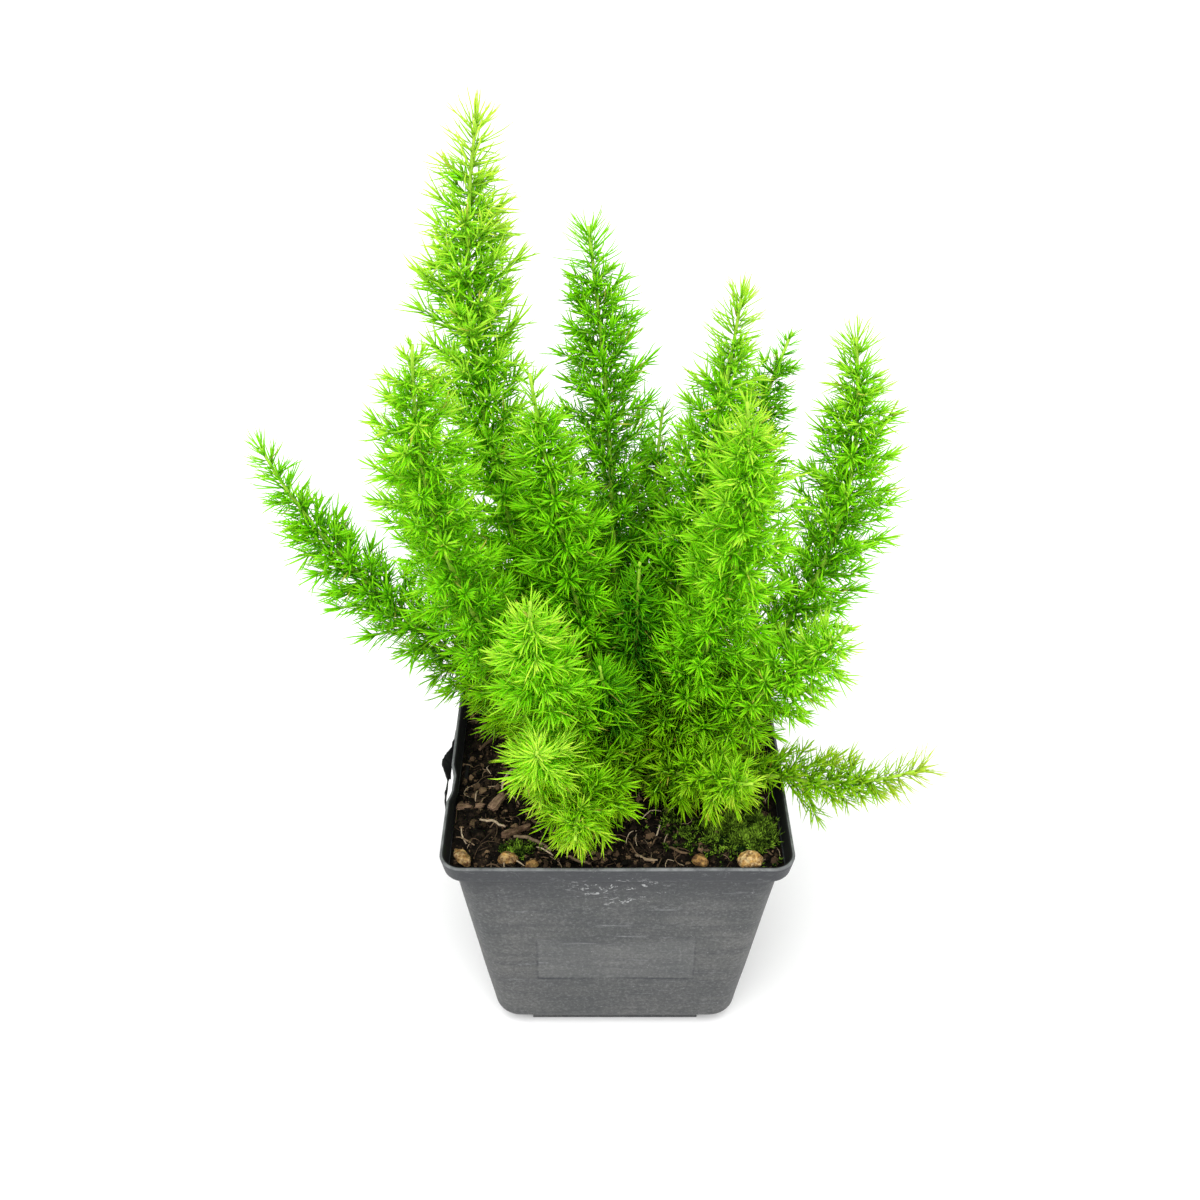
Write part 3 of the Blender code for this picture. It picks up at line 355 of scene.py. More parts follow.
class FernStageSettings(bpy.types.PropertyGroup):
    """Floor, light and camera."""

    floor_colour: colour_property("Floor", "Colour of the floor", (0.920, 0.920, 0.920))
    sky_strength: FloatProperty(name="Sky strength", description="Strength of the even light",
                                default=0.62, min=0.0)
    key_strength: FloatProperty(name="Key light", description="Strength of the high soft light", default=3.5,
                                min=0.0)
    key_spread: FloatProperty(name="Key spread", description="Angle that the high light spans", min=0.0,
                              default=math.radians(70), unit="ROTATION", subtype="ANGLE")
    fill_power: FloatProperty(name="Fill light", description="Power of the front light", default=1.5,
                              min=0.0, unit="POWER")
    lens: FloatProperty(name="Lens", description="Focal length on a 36 mm frame", default=40.0, min=1.0)
    camera_place: FloatVectorProperty(name="Camera place", description="Where the camera stands",
                                      default=(-0.0046, -0.29666, 0.34250), size=3, unit="LENGTH",
                                      subtype="TRANSLATION")
    camera_pitch: FloatProperty(name="Camera pitch", description="How far the camera looks down",
                                default=math.radians(35.1), unit="ROTATION", subtype="ANGLE")


class Piece:
    """Points, faces and marks of one piece, gathered before they go into its mesh."""

    def __init__(self):
        self.points, self.marks, self.faces, self.slots, self.smooth = [], [], [], [], []
        self.count = 0

    def add(self, points, faces, marks, slot=0, smooth=True):
        """Adds points, faces of three or four corners each, and four marks to a point."""
        points = np.asarray(points, float).reshape(-1, 3)
        self.points.append(points)
        self.marks.append(np.broadcast_to(marks, (*np.shape(marks)[:-1], 4)).reshape(-1, 4))
        for group in faces:
            self.faces.append(np.asarray(group) + self.count)
            self.slots.append(np.full(len(group), slot))
            self.smooth.append(np.full(len(group), smooth))
        self.count += len(points)

    def add_even(self, body, along, chance, smooth=True):
        """Adds a body that has the same marks all over."""
        points, faces = body
        self.add(points, faces, together(np.full(len(points), along), chance, 0.5, 0.0), smooth=smooth)

    def build(self, name, materials, rides=True):
        """Puts the arrays into a mesh, and returns its object."""
        mesh = bpy.data.meshes.new(name)
        points = np.concatenate(self.points)
        corners = np.concatenate([group.ravel() for group in self.faces])
        sizes = np.concatenate([np.full(len(group), group.shape[1]) for group in self.faces])
        mesh.vertices.add(len(points))
        mesh.vertices.foreach_set("co", points.astype(np.float32).ravel())
        mesh.loops.add(len(corners))
        mesh.loops.foreach_set("vertex_index", corners.astype(np.int32))
        mesh.polygons.add(len(sizes))
        starts = np.concatenate([[0], np.cumsum(sizes)[:-1]])
        mesh.polygons.foreach_set("loop_start", starts.astype(np.int32))
        for material in materials:
            mesh.materials.append(material)
        mesh.polygons.foreach_set("material_index", np.concatenate(self.slots).astype(np.int32))
        mesh.polygons.foreach_set("use_smooth", np.concatenate(self.smooth))
        growth = mesh.attributes.new("growth", "FLOAT_COLOR", "POINT")
        growth.data.foreach_set("color", np.concatenate(self.marks).astype(np.float32).ravel())
        mesh.update(calc_edges=True)
        if mesh.validate():
            raise RuntimeError(f"{name} had faulty faces")
        made = bpy.data.objects.new(name, mesh)
        bpy.context.scene.collection.objects.link(made)
        if rides:
            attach(made, "root")
        return made


def unit(vectors):
    """Each vector divided by its own length."""
    return vectors / np.maximum(np.linalg.norm(vectors, axis=-1, keepdims=True), 1e-12)


def together(*values):
    """Coordinates or marks of points, from arrays or single numbers that fit together."""
    return np.stack(np.broadcast_arrays(*values), axis=-1)


def drift(points, cell, seed):
    """Smooth random values from -1 to 1: random numbers on a cubic lattice of that cell, blended
    between the eight corners round each point by 3t² - 2t³ along each axis."""
    lattice = np.random.default_rng(seed).uniform(-1, 1, (LATTICE, LATTICE, LATTICE))
    spots = np.asarray(points) / cell
    low = np.floor(spots).astype(int)
    share = (spots - low) ** 2 * (3 - 2 * (spots - low))
    total = np.zeros(spots.shape[:-1])
    for corner in itertools.product((0, 1), repeat=3):
        weight = np.prod(np.where(np.array(corner) == 1, share, 1 - share), axis=-1)
        place = (low + corner) % LATTICE
        total += weight * lattice[place[..., 0], place[..., 1], place[..., 2]]
    return total


def tubes(centres, side, other, half_side, half_other, sides, turn=0.0):
    """Closed tubes along rows of centres. Ring k of a tube is its centre k plus half_side times the
    cosine of an angle along side, plus half_other times its sine along other. A centre point closes
    each end. Returns points by tube, and the faces."""
    count, rings = centres.shape[:2]
    angles = turn + np.arange(sides) * TURN / sides
    around = half_side[..., None, None] * np.cos(angles)[:, None] * side[..., None, :]
    around = around + half_other[..., None, None] * np.sin(angles)[:, None] * other[..., None, :]
    ring_points = (centres[..., None, :] + around).reshape(count, rings * sides, 3)
    points = np.concatenate([ring_points, centres[:, :1], centres[:, -1:]], axis=1)
    return points, tube_faces(count, rings, sides)


def tube_faces(count, rings, sides):
    """Faces of closed tubes: quads between rings, and a fan of triangles at each end."""
    size = rings * sides + 2
    first = (np.arange(count) * size)[:, None, None]
    ring = (np.arange(rings - 1) * sides)[None, :, None]
    here = np.arange(sides)[None, None, :]
    after = (here + 1) % sides
    quads = np.stack(np.broadcast_arrays(first + ring + here, first + ring + after,
                                         first + ring + sides + after, first + ring + sides + here), axis=-1)
    starts = np.arange(count)[:, None] * size
    here, after = np.arange(sides)[None, :], (np.arange(sides)[None, :] + 1) % sides
    last = starts + (rings - 1) * sides
    bottom = np.stack(np.broadcast_arrays(starts + size - 2, starts + after, starts + here), axis=-1)
    top = np.stack(np.broadcast_arrays(last + here, last + after, starts + size - 1), axis=-1)
    return quads.reshape(-1, 4), np.concatenate([bottom.reshape(-1, 3), top.reshape(-1, 3)])


def capped(rings):
    """Points and faces of one closed body: its rings, and the middle of each end ring, which closes it."""
    points = np.concatenate([rings.reshape(-1, 3), rings[:1].mean(axis=1), rings[-1:].mean(axis=1)])
    return points, tube_faces(1, *rings.shape[:2])


def turned(points, angle):
    """Points turned about the vertical axis by that angle."""
    cosine, sine = math.cos(angle), math.sin(angle)
    return points @ np.array([[cosine, sine, 0], [-sine, cosine, 0], [0, 0, 1]])


def round_turn(count):
    """Angles evenly round a circle."""
    return np.linspace(0, TURN, count, endpoint=False)


def corner_arc(half, corner, steps):
    """A square's rounded corner: a quarter circle of that radius, but for its last point."""
    angles = np.linspace(0, math.pi / 2, steps + 1)[:-1]
    return half - corner + corner * np.stack([np.cos(angles), np.sin(angles)], axis=1)


def square_outline(half, corner, straight, steps):
    """Points round a square of that half width: the given places along each side, and its corners' arcs."""
    side = np.stack([np.full(len(straight), half), straight], axis=1)
    return four_sides(np.concatenate([side, corner_arc(half, corner, steps)]))


def rounded_square(half, corner, steps):
    """Points round a square of that half width: its four sides in even steps, and its corners as arcs."""
    return square_outline(half, corner, np.linspace(-1, 1, 2 * steps + 1)[:-1] * (half - corner), steps)


def four_sides(quarter):
    """A quarter of an outline, then its copies turned by one, two and three right angles."""
    turns = [np.array([[0, 1], [-1, 0]]), np.array([[-1, 0], [0, -1]]), np.array([[0, -1], [1, 0]])]
    return np.concatenate([quarter] + [quarter @ turn for turn in turns])


def soil_height(x, y):
    """Height of the potting mix: its level plus low lumps, one a product of a sine in x and a cosine
    in y, and one a sine along a slant."""
    lumps = 0.0007 * np.sin(210 * x + 1.1) * np.cos(180 * y + 0.4)
    return SOIL_LEVEL + lumps + 0.0004 * np.sin(390 * x - 170 * y + 2.0)


def soil_surface(x, y):
    """The mix's height with its crumbly relief: three sizes of drift laid on soil_height."""
    flat = together(x, y, 0.0)
    relief = 0.0007 * drift(flat, 0.0060, 31) + 0.0005 * drift(flat, 0.0026, 32)
    return soil_height(x, y) + relief + 0.00035 * drift(flat, 0.0011, 33)


def clear_of_pot(points):
    """Whether points stay above the rim, above what lies on the mix, and above the ground."""
    reach = np.abs(points[..., :2]).max(axis=-1)
    floor = np.select([reach > RIM_BAND_OUTSIDE, reach > RIM_BAND_INSIDE, reach > LITTER_INSIDE],
                      [GROUND_HEADROOM, RIM_TOP + RIM_HEADROOM, SOIL_LEVEL + LITTER_HEADROOM],
                      SOIL_LEVEL + SOIL_HEADROOM)
    return points[..., 2] > floor


def leaning(east, north, core, turns, tilt):
    """Directions round a core, several to each: turns from east towards north, tilt away from the core."""
    radial = np.cos(turns)[..., None] * east[:, None] + np.sin(turns)[..., None] * north[:, None]
    return np.sin(tilt)[..., None] * radial + np.cos(tilt)[..., None] * core[:, None]


def spindles(piece, bases, ways, edges, bend, lengths, widths, thickness, marks, plain):
    """Needles. A needle's centre at t is its base plus its length times (t along its way, plus t² along
    its bend). A full needle opens from a point at t = 0 into a keeled, three-cornered section, keeps it
    for most of the length, and closes in a point at t = 1. A plain one has a single, widest section."""
    t, swell = PLAIN_NEEDLE if plain else FULL_NEEDLE
    line = t[:, None] * ways[:, None, :] + (t ** 2)[:, None] * bend[:, None, :]
    centres = bases[:, None, :] + lengths[:, None, None] * line
    clear = clear_of_pot(centres[:, 1:]).all(axis=1)
    centres, ways, edges, widths, marks = (item[clear] for item in (centres, ways, edges, widths, marks))
    flats = np.cross(ways, edges)
    half_width = widths[:, None] / math.sqrt(3) * swell
    points, faces = tubes(centres[:, 1:-1], edges[:, None, :], flats[:, None, :], half_width,
                          half_width * thickness, 3, turn=math.pi / 2)
    points[:, -2:] = centres[:, [0, -1]]
    along = np.broadcast_to(np.concatenate([np.repeat(t[1:-1], 3), [0.0, 1.0]]), points.shape[:2])
    spread = np.broadcast_to(marks[:, None, :], (*points.shape[:2], 3))
    piece.add(points, faces, np.concatenate([along[..., None], spread], axis=-1))


class Route:
    """A frond's way, as lengths, places and directions, with a side direction for turning round it."""

    def __init__(self, name):
        root, bend, tip, plume, rise, bare, self.tone, self.needle = FRONDS[name]
        x, y = root[0] / 1000, root[1] / 1000
        leave = np.array([x, y, soil_height(x, y)])
        corners = (leave, leave + [0, 0, rise / 1000], np.array(bend) / 1000, np.array(tip) / 1000)
        t = np.linspace(0, 1, CURVE_POINTS)[:, None]
        weights = ((1 - t) ** 3, 3 * (1 - t) ** 2 * t, 3 * (1 - t) * t ** 2, t ** 3)
        curve = sum(weight * corner for weight, corner in zip(weights, corners))
        self.places = np.vstack([[x, y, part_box(name)[0].z], curve])
        self.ways = unit(np.gradient(self.places, axis=0))
        self.lengths = np.concatenate([[0], np.cumsum(np.linalg.norm(np.diff(self.places, axis=0), axis=1))])
        self.surface = self.lengths[1]
        self.end = self.lengths[-1] - 0.75 * SOLID_NEEDLE
        self.first = self.surface + bare * (self.end - self.surface)
        self.plume = plume / 1000
        self.cone = min(CONE_LENGTH, CONE_SHARE * (self.end - self.surface))
        heading = np.array([-(tip[1] - root[1]), tip[0] - root[0], 0.0])
        self.level = heading / np.linalg.norm(heading)

    def at(self, lengths):
        """Place, direction, side and the direction across both, at each length."""
        place, way = (np.stack([np.interp(lengths, self.lengths, column) for column in table.T], axis=-1)
                      for table in (self.places, self.ways))
        way = unit(way)
        side = unit(np.cross(way, self.level))
        return place, way, side, np.cross(way, side)

    def cone_radius(self, lengths):
        """Radius of the plume as a cone from the tip down to its full width."""
        from_tip = self.end + SOLID_NEEDLE - lengths
        return self.plume * (CONE_TIP + (1 - CONE_TIP) * np.minimum(1.0, from_tip / self.cone))

    def plume_radius(self, lengths):
        """Radius of the plume: its cone, rounded off at the tip."""
        return self.cone_radius(lengths) * (1 - np.exp(-(self.end + SOLID_NEEDLE - lengths) / TIP_FADE))

    def joints(self, low_spacing, tip_spacing):
        """Lengths of the joints, from the first up to the tip: low_spacing apart on the full plume, and
        evenly closer up its cone to tip_spacing. They are where the running sum of 1 / spacing passes
        each whole number."""
        lengths = np.linspace(self.first, self.end, JOINT_SAMPLES)
        share = np.clip((self.end - lengths) / CONE_LENGTH, 0, 1)
        density = 1 / (tip_spacing + (low_spacing - tip_spacing) * share)
        passed = np.concatenate([[0], np.cumsum((density[1:] + density[:-1]) / 2 * np.diff(lengths))])
        return np.interp(np.arange(1, int(passed[-1])), passed, lengths)


def grow_stem(piece, route, settings):
    """A round stem along its route, narrowing evenly to its tip, with a slight swelling at each joint."""
    lengths = np.linspace(0, route.end, int(route.end / STEM_STEP))
    place, _, side, other = route.at(lengths)
    share = lengths / route.end
    radius = settings.stem_radius + (settings.stem_tip_radius - settings.stem_radius) * share
    radius = radius * (1 + 0.10 * np.sin(lengths / SWELLING) ** 4)
    points, faces = tubes(place[None], side[None], other[None], radius[None], radius[None], 6)
    height = np.concatenate([np.repeat(share, 6), [0, 1]])
    piece.add(points, faces, together(height, 0.5, height, 0.0), 1)


def grow_frond(name, settings, order):
    """One frond: its stem, branchlets by the golden angle, and bunches of needles on stem and branchlets."""
    draw = np.random.default_rng(settings.seed * 100 + order)
    route, piece = Route(name), Piece()
    grow_stem(piece, route, settings)
    lengths = route.joints(settings.joint_spacing, settings.tip_joint_spacing)
    count = len(lengths)
    lengths = lengths + draw.uniform(-0.0004, 0.0004, count)
    place, way, side, other = route.at(lengths)
    youth = (lengths - route.first) / (route.end - route.first)
    turn = order + np.arange(count) * GOLDEN_ANGLE + draw.normal(0, 0.15, count)
    outward = np.cos(turn)[:, None] * side + np.sin(turn)[:, None] * other
    from_tip = route.end - lengths
    rise = BRANCH_RISE + (LOW_BRANCH_RISE - BRANCH_RISE) * np.clip(from_tip / CONE_LENGTH, 0, 1)
    rise = rise + draw.normal(0, 0.10, count) + TIP_CLOSING * np.exp(-from_tip / CLOSING_LENGTH)
    axis = np.cos(rise)[:, None] * outward + np.sin(rise)[:, None] * way
    reach = (route.plume_radius(lengths) - NEEDLE_REACH) / np.cos(rise)
    reach = np.clip(reach * draw.uniform(*BRANCHLET_SPREAD, count), 0.0, settings.branchlet_longest)
    reach = np.where(clear_of_pot(place + axis * (reach + 0.001)[:, None]), reach, 0.0)
    shortest = AIRY_TIPS.get(name, SHORT_BRANCHLET) * draw.uniform(*SHORTEST_SPREAD, count)
    reach = np.where(reach < np.maximum(shortest, SHORT_BRANCHLET), 0.0, reach)
    sway = BRANCHLET_SWAY * way + draw.normal(0, 0.05, (count, 3))
    across = unit(np.cross(axis, way))
    long = np.flatnonzero(reach)
    steps = np.array([0.0, 0.5, 1.0])[:, None]
    curve = steps * axis[long, None, :] + steps ** 2 * sway[long, None, :]
    centres = place[long, None, :] + reach[long, None, None] * curve
    radius = BRANCHLET_RADII * np.ones((len(long), 1))
    points, faces = tubes(centres, across[long, None], np.cross(axis, across)[long, None], radius, radius, 3)
    height = np.broadcast_to(youth[long, None], points.shape[:2])
    piece.add(points, faces, together(height, 0.5, height, 1.0), 1)
    # A joint's tone: its frond's tone, which is partly painted shade, growing lighter towards the young tip.
    tone = 0.72 * route.tone + (0.25 + 0.40 * route.tone) * youth ** 2
    growth = route.needle * (YOUNGEST_NEEDLE + (1 - YOUNGEST_NEEDLE) * np.clip(from_tip / TIP_GROWTH, 0, 1))
    bunches = Bunches(piece, settings, draw, tone, growth)
    airy = (reach == 0) & (name in AIRY_TIPS) & (from_tip < CONE_LENGTH)
    full_reach = 0.95 * route.cone_radius(lengths) / (settings.needle_length * STEM_NEEDLE)
    stretch = np.where(airy, np.maximum(1.0, full_reach / growth), 1.0)
    bunches.on_stem(place, way, outward, rise, stretch, np.arange(count))
    bunches.on_stem(place, way, -outward, rise, stretch, np.flatnonzero(airy))
    bunches.along(place, axis, sway, reach, across)
    return piece


class Bunches:
    """Adds the bunches of needles of one frond, with a tone and a needle size for each of its joints."""

    def __init__(self, piece, settings, draw, tone, size):
        self.piece, self.settings, self.draw, self.tone, self.size = piece, settings, draw, tone, size

    def on_stem(self, place, way, outward, rise, stretch, joints):
        """At each chosen joint, a narrow sheaf of needles leaves the outward side, nearly square to the stem.
        They are longer by stretch, where they reach the plume's edge in place of a branchlet."""
        draw, needles = self.draw, self.settings.sheaf
        place, way, outward, rise = place[joints], way[joints], outward[joints], rise[joints]
        shape = (len(joints), needles)
        fan = np.linspace(-0.30, 0.30, needles) + draw.normal(0, 0.12, shape)
        lean = math.pi / 2 - 0.9 * rise[:, None] + draw.normal(0, 0.12, shape)
        ways = leaning(outward, np.cross(way, outward), way, fan, lean)
        rows = np.broadcast_to(joints[:, None], shape)
        size = STEM_NEEDLE * stretch[rows]
        # Needles on the stem take 0.75 for the painted shade inside the plume.
        self.needles(place[:, None] + ways * 0.0003, ways, way[:, None], rows, size, 0.75, 0.95, False)

    def along(self, place, axis, sway, reach, across):
        """Along each branchlet, bunches that turn by the golden angle, and a tuft at its end."""
        settings, branchlets = self.settings, (place, axis, sway, reach, across)
        first_turn = self.draw.uniform(0, TURN, len(reach))
        for number in range(int(settings.branchlet_longest / settings.bunch_spacing) + 1):
            far = settings.bunch_spacing * (number + 0.55)
            rows = np.flatnonzero(reach > far + 0.0006)
            turn = first_turn[rows] + number * GOLDEN_ANGLE
            self.star(branchlets, rows, far / reach[rows], turn, BUNCH_TURN, settings.bunch, BUNCH_LEAN,
                      BUNCH_KEPT, True)
        rows = np.flatnonzero(reach)
        self.star(branchlets, rows, np.ones(len(rows)), first_turn[rows], TURN / settings.tuft, settings.tuft,
                  TUFT_LEAN, 1.0, False)

    def star(self, branchlets, rows, share, turn, step, needles, lean, keep, plain):
        """One bunch on each chosen branchlet at its share of the length: needles step apart round the
        branchlet, lean out from it, and start a little apart along it."""
        if not len(rows):
            return
        place, axis, sway, reach, across = (item[rows] for item in branchlets)
        draw, shape = self.draw, (len(rows), needles)
        hub = place + reach[:, None] * (share[:, None] * axis + share[:, None] ** 2 * sway)
        core = unit(axis + 2 * share[:, None] * sway)
        east = unit(across - core * (across * core).sum(-1, keepdims=True))
        turns = turn[:, None] + np.arange(needles) * step + draw.normal(0, 0.35, shape)
        tilt = np.radians(lean + draw.normal(0, 15, shape))
        ways = leaning(east, np.cross(core, east), core, turns, tilt)
        back = draw.uniform(0, BUNCH_DEPTH, shape)[..., None] * core[:, None]
        spread = np.broadcast_to(rows[:, None], shape)
        size = BUNCH_SIZE if plain else TUFT_SIZE
        # A bunch's mean share along its branchlets sets its painted shade inside the plume.
        self.needles(hub[:, None] - back, ways, core[:, None], spread, size, share.mean(), keep, plain)

    def needles(self, starts, ways, core, rows, size, depth, keep, plain):
        """Adds needles that bend a little towards their core and to one side."""
        draw, settings = self.draw, self.settings
        edges = unit(np.cross(ways, core))
        bend = CORE_BEND * (core - ways * (ways * core).sum(-1, keepdims=True))
        bend = bend + draw.normal(0, SIDE_BEND, ways.shape)
        lengths = settings.needle_length * self.size[rows] * size * draw.uniform(*LENGTH_SPREAD, rows.shape)
        widths = settings.needle_width * self.size[rows] ** 0.6 * draw.uniform(*WIDTH_SPREAD, rows.shape)
        # The last mark, depth, is painted shade inside the plume: low near the stem, 1 at a branchlet's end.
        marks = together(draw.uniform(0, 1, rows.shape), self.tone[rows], np.full(rows.shape, depth))
        kept = draw.uniform(0, 1, rows.shape) < keep
        spindles(self.piece, starts[kept], ways[kept], edges[kept], bend[kept], lengths[kept], widths[kept],
                 settings.needle_thickness / settings.needle_width, marks[kept], plain)


class Nodes:
    """Short ways to add nodes to a material."""

    def __init__(self, name):
        self.material = bpy.data.materials.new(name)
        self.material.use_nodes = True
        self.tree = self.material.node_tree
        self.shader = self.tree.nodes["Principled BSDF"]

    def add(self, kind, **inputs):
        made = self.tree.nodes.new(kind)
        for name, value in inputs.items():
            self.put(made.inputs[name.replace("_", " ")], value)
        return made

    def put(self, socket, value):
        """Links an output, or sets a plain value."""
        if isinstance(value, bpy.types.NodeSocket):
            self.tree.links.new(value, socket)
        elif socket.type == "RGBA":
            socket.default_value = (*value[:3], 1.0)
        else:
            socket.default_value = value

    def place(self, stretch=(1, 1, 1)):
        """Object coordinates, stretched."""
        where = self.add("ShaderNodeTexCoord").outputs["Object"]
        if tuple(stretch) == (1, 1, 1):
            return where
        mapping = self.add("ShaderNodeMapping")
        self.put(mapping.inputs["Vector"], where)
        mapping.inputs["Scale"].default_value = stretch
        return mapping.outputs["Vector"]

    def noise(self, scale, detail=4.0, roughness=0.55, where=None, distortion=0.0):
        made = self.add("ShaderNodeTexNoise", Vector=where or self.place())
        for name, value in (("Scale", scale), ("Detail", detail), ("Roughness", roughness),
                            ("Distortion", distortion)):
            made.inputs[name].default_value = value
        return made.outputs["Fac"]

    def cells(self, scale, feature="F1", where=None):
        made = self.tree.nodes.new("ShaderNodeTexVoronoi")
        made.feature = feature
        self.put(made.inputs["Vector"], where or self.place())
        made.inputs["Scale"].default_value = scale
        return made.outputs["Distance"]

    def maths(self, operation, first, second=0.0, clamp=False):
        made = self.tree.nodes.new("ShaderNodeMath")
        made.operation = operation
        made.use_clamp = clamp
        self.put(made.inputs[0], first)
        self.put(made.inputs[1], second)
        return made.outputs[0]

    def spread(self, value, low, high, out_low=0.0, out_high=1.0):
        """A value between low and high, spread over the out range."""
        made = self.tree.nodes.new("ShaderNodeMapRange")
        for index, item in enumerate((value, low, high, out_low, out_high)):
            self.put(made.inputs[index], item)
        return made.outputs[0]

    def mix(self, share, first, second, blend="MIX"):
        made = self.tree.nodes.new("ShaderNodeMix")
        made.data_type = "RGBA"
        made.blend_type = blend
        self.put(made.inputs[0], share)
        self.put(made.inputs[6], first)
        self.put(made.inputs[7], second)
        return made.outputs[2]

    def blend(self, body, colour, value, low, high, out_low=0.0, out_high=1.0):
        """A body colour that turns to another as the value goes from low to high."""
        return self.mix(self.spread(value, low, high, out_low, out_high), body, colour)

    def growth(self):
        """The four marks of a grown piece."""
        attribute = self.tree.nodes.new("ShaderNodeAttribute")
        attribute.attribute_name = "growth"
        split = self.add("ShaderNodeSeparateColor", Color=attribute.outputs["Color"])
        return [*split.outputs[:3], attribute.outputs["Alpha"]]

    def relief(self, height, strength, distance):
        bump = self.add("ShaderNodeBump", Height=height)
        bump.inputs["Strength"].default_value = strength
        bump.inputs["Distance"].default_value = distance
        self.put(self.shader.inputs["Normal"], bump.outputs["Normal"])

    def finish(self, colour, roughness, **values):
        self.put(self.shader.inputs["Base Color"], colour)
        self.put(self.shader.inputs["Roughness"], roughness)
        for name, value in values.items():
            self.shader.inputs[name.replace("_", " ")].default_value = value
        return self.material


def needle_material(settings):
    """Waxy needles: mature green, fresh green and young green by the tone of their frond, partly painted
    shade,
    and by their place: darker near the stem deep in the plume as painted shade, darker at each needle's foot,
    with a brown point, more olive near the rim, a dried one here and there."""
    kit = Nodes("needle_leaf")
    along, chance, tone, depth = kit.growth()
    patches = kit.noise(120.0, 3.0)
    # Painted shade: by the depth mark, needles near the stem deep in the plume turn darker, those at a
    # branchlet's end lighter.
    fresh = kit.maths("ADD", kit.maths("MULTIPLY", tone, 1.15), kit.spread(depth, 0.0, 1.0, -0.32, 0.22))
    fresh = kit.maths("ADD", fresh, kit.spread(chance, 0.0, 1.0, -0.12, 0.12))
    fresh = kit.maths("ADD", fresh, kit.spread(patches, 0.3, 0.7, -0.18, 0.18))
    body = kit.mix(kit.spread(fresh, 0.10, 0.80), settings.mature_and_shade_green, settings.fresh_green)
    body = kit.blend(body, settings.young_green, fresh, 0.90, 1.65)
    body = kit.blend(body, settings.mature_and_shade_green, along, 0.0, 0.45, 0.50, 0.0)
    body = kit.blend(body, settings.stem_brown, along, 0.93, 1.0, 0.0, 0.35)
    dry = kit.maths("MULTIPLY", kit.maths("GREATER_THAN", chance, 0.990), 0.7)
    body = kit.mix(dry, body, settings.dry_straw)
    height = kit.add("ShaderNodeSeparateXYZ", Vector=kit.place()).outputs["Z"]
    body = kit.mix(kit.spread(height, OLIVE_TOP, OLIVE_BOTTOM), body, settings.olive_cast, "MULTIPLY")
    kit.relief(kit.noise(2600.0, 2.0), 0.2, 0.0001)
    shine = kit.spread(kit.noise(700.0, 2.0), 0.3, 0.7, 0.42, 0.60)
    return kit.finish(body, shine, Specular_IOR_Level=0.08, Subsurface_Weight=0.30, Subsurface_Scale=0.0010,
                      Subsurface_Radius=(0.6, 1.0, 0.05))


def stem_material(settings):
    """Ribbed stems: brown near the mix, then yellow-green."""
    kit = Nodes("fern_stem")
    height, _, _, kind = kit.growth()
    ribs = kit.noise(900.0, 3.0, where=kit.place((1.0, 1.0, 0.12)))
    body = kit.mix(kit.spread(height, 0.02, 0.22), settings.stem_brown, settings.stem_green)
    body = kit.mix(kit.maths("MULTIPLY", kind, 0.60), body, settings.fresh_green)
    body = kit.blend(body, settings.stem_brown, ribs, 0.40, 0.80, 0.0, 0.18)
    kit.relief(ribs, 0.4, 0.0002)
    return kit.finish(body, kit.spread(ribs, 0.3, 0.7, 0.45, 0.70), Specular_IOR_Level=0.30)


def peat_material(settings, name, lift):
    """Crumbly peat: near black where wet and, as painted shade, in the hollows of its relief; brown where dry
    and raised, with specks of tan.
    """
    kit = Nodes(name)
    chance = kit.growth()[1]
    clumps = kit.noise(420.0, 6.0, 0.65)
    grains = kit.cells(1500.0)
    # The clumps that raise the relief also turn the peat brown, so its hollows stay near black: wet peat and
    # painted shade.
    dry_and_lit = kit.maths("ADD", clumps, kit.spread(chance, 0.0, 1.0, -0.12, 0.12))
    body = kit.mix(kit.spread(dry_and_lit, 0.44, 0.68, 0.0, 0.9), settings.dark_peat, settings.brown_peat)
    tone = kit.maths("MULTIPLY", kit.maths("POWER", chance, 6.0), lift)
    body = kit.mix(tone, body, settings.tan_fibre)
    flecks = kit.spread(kit.noise(1900.0, 3.0, 0.7), 0.69, 0.76, 0.0, 0.6)
    body = kit.mix(flecks, body, settings.tan_fibre)
    kit.relief(kit.maths("ADD", clumps, kit.maths("MULTIPLY", grains, 0.6)), 0.9, 0.0006)
    return kit.finish(body, kit.spread(clumps, 0.3, 0.7, 0.62, 0.95), Specular_IOR_Level=0.07)


def fibre_material(settings):
    """Roots, straw and sticks: tan to cream, with darker lengths."""
    kit = Nodes("plant_fibre")
    paleness = kit.growth()[2]
    grain = kit.noise(1300.0, 4.0, 0.6)
    body = kit.mix(paleness, settings.brown_peat, settings.tan_fibre)
    body = kit.blend(body, settings.pale_fibre, paleness, 0.45, 1.0)
    body = kit.blend(body, settings.brown_peat, grain, 0.45, 0.75, 0.0, 0.6)
    kit.relief(grain, 0.6, 0.0002)
    return kit.finish(body, kit.spread(grain, 0.3, 0.7, 0.6, 0.9), Specular_IOR_Level=0.12)


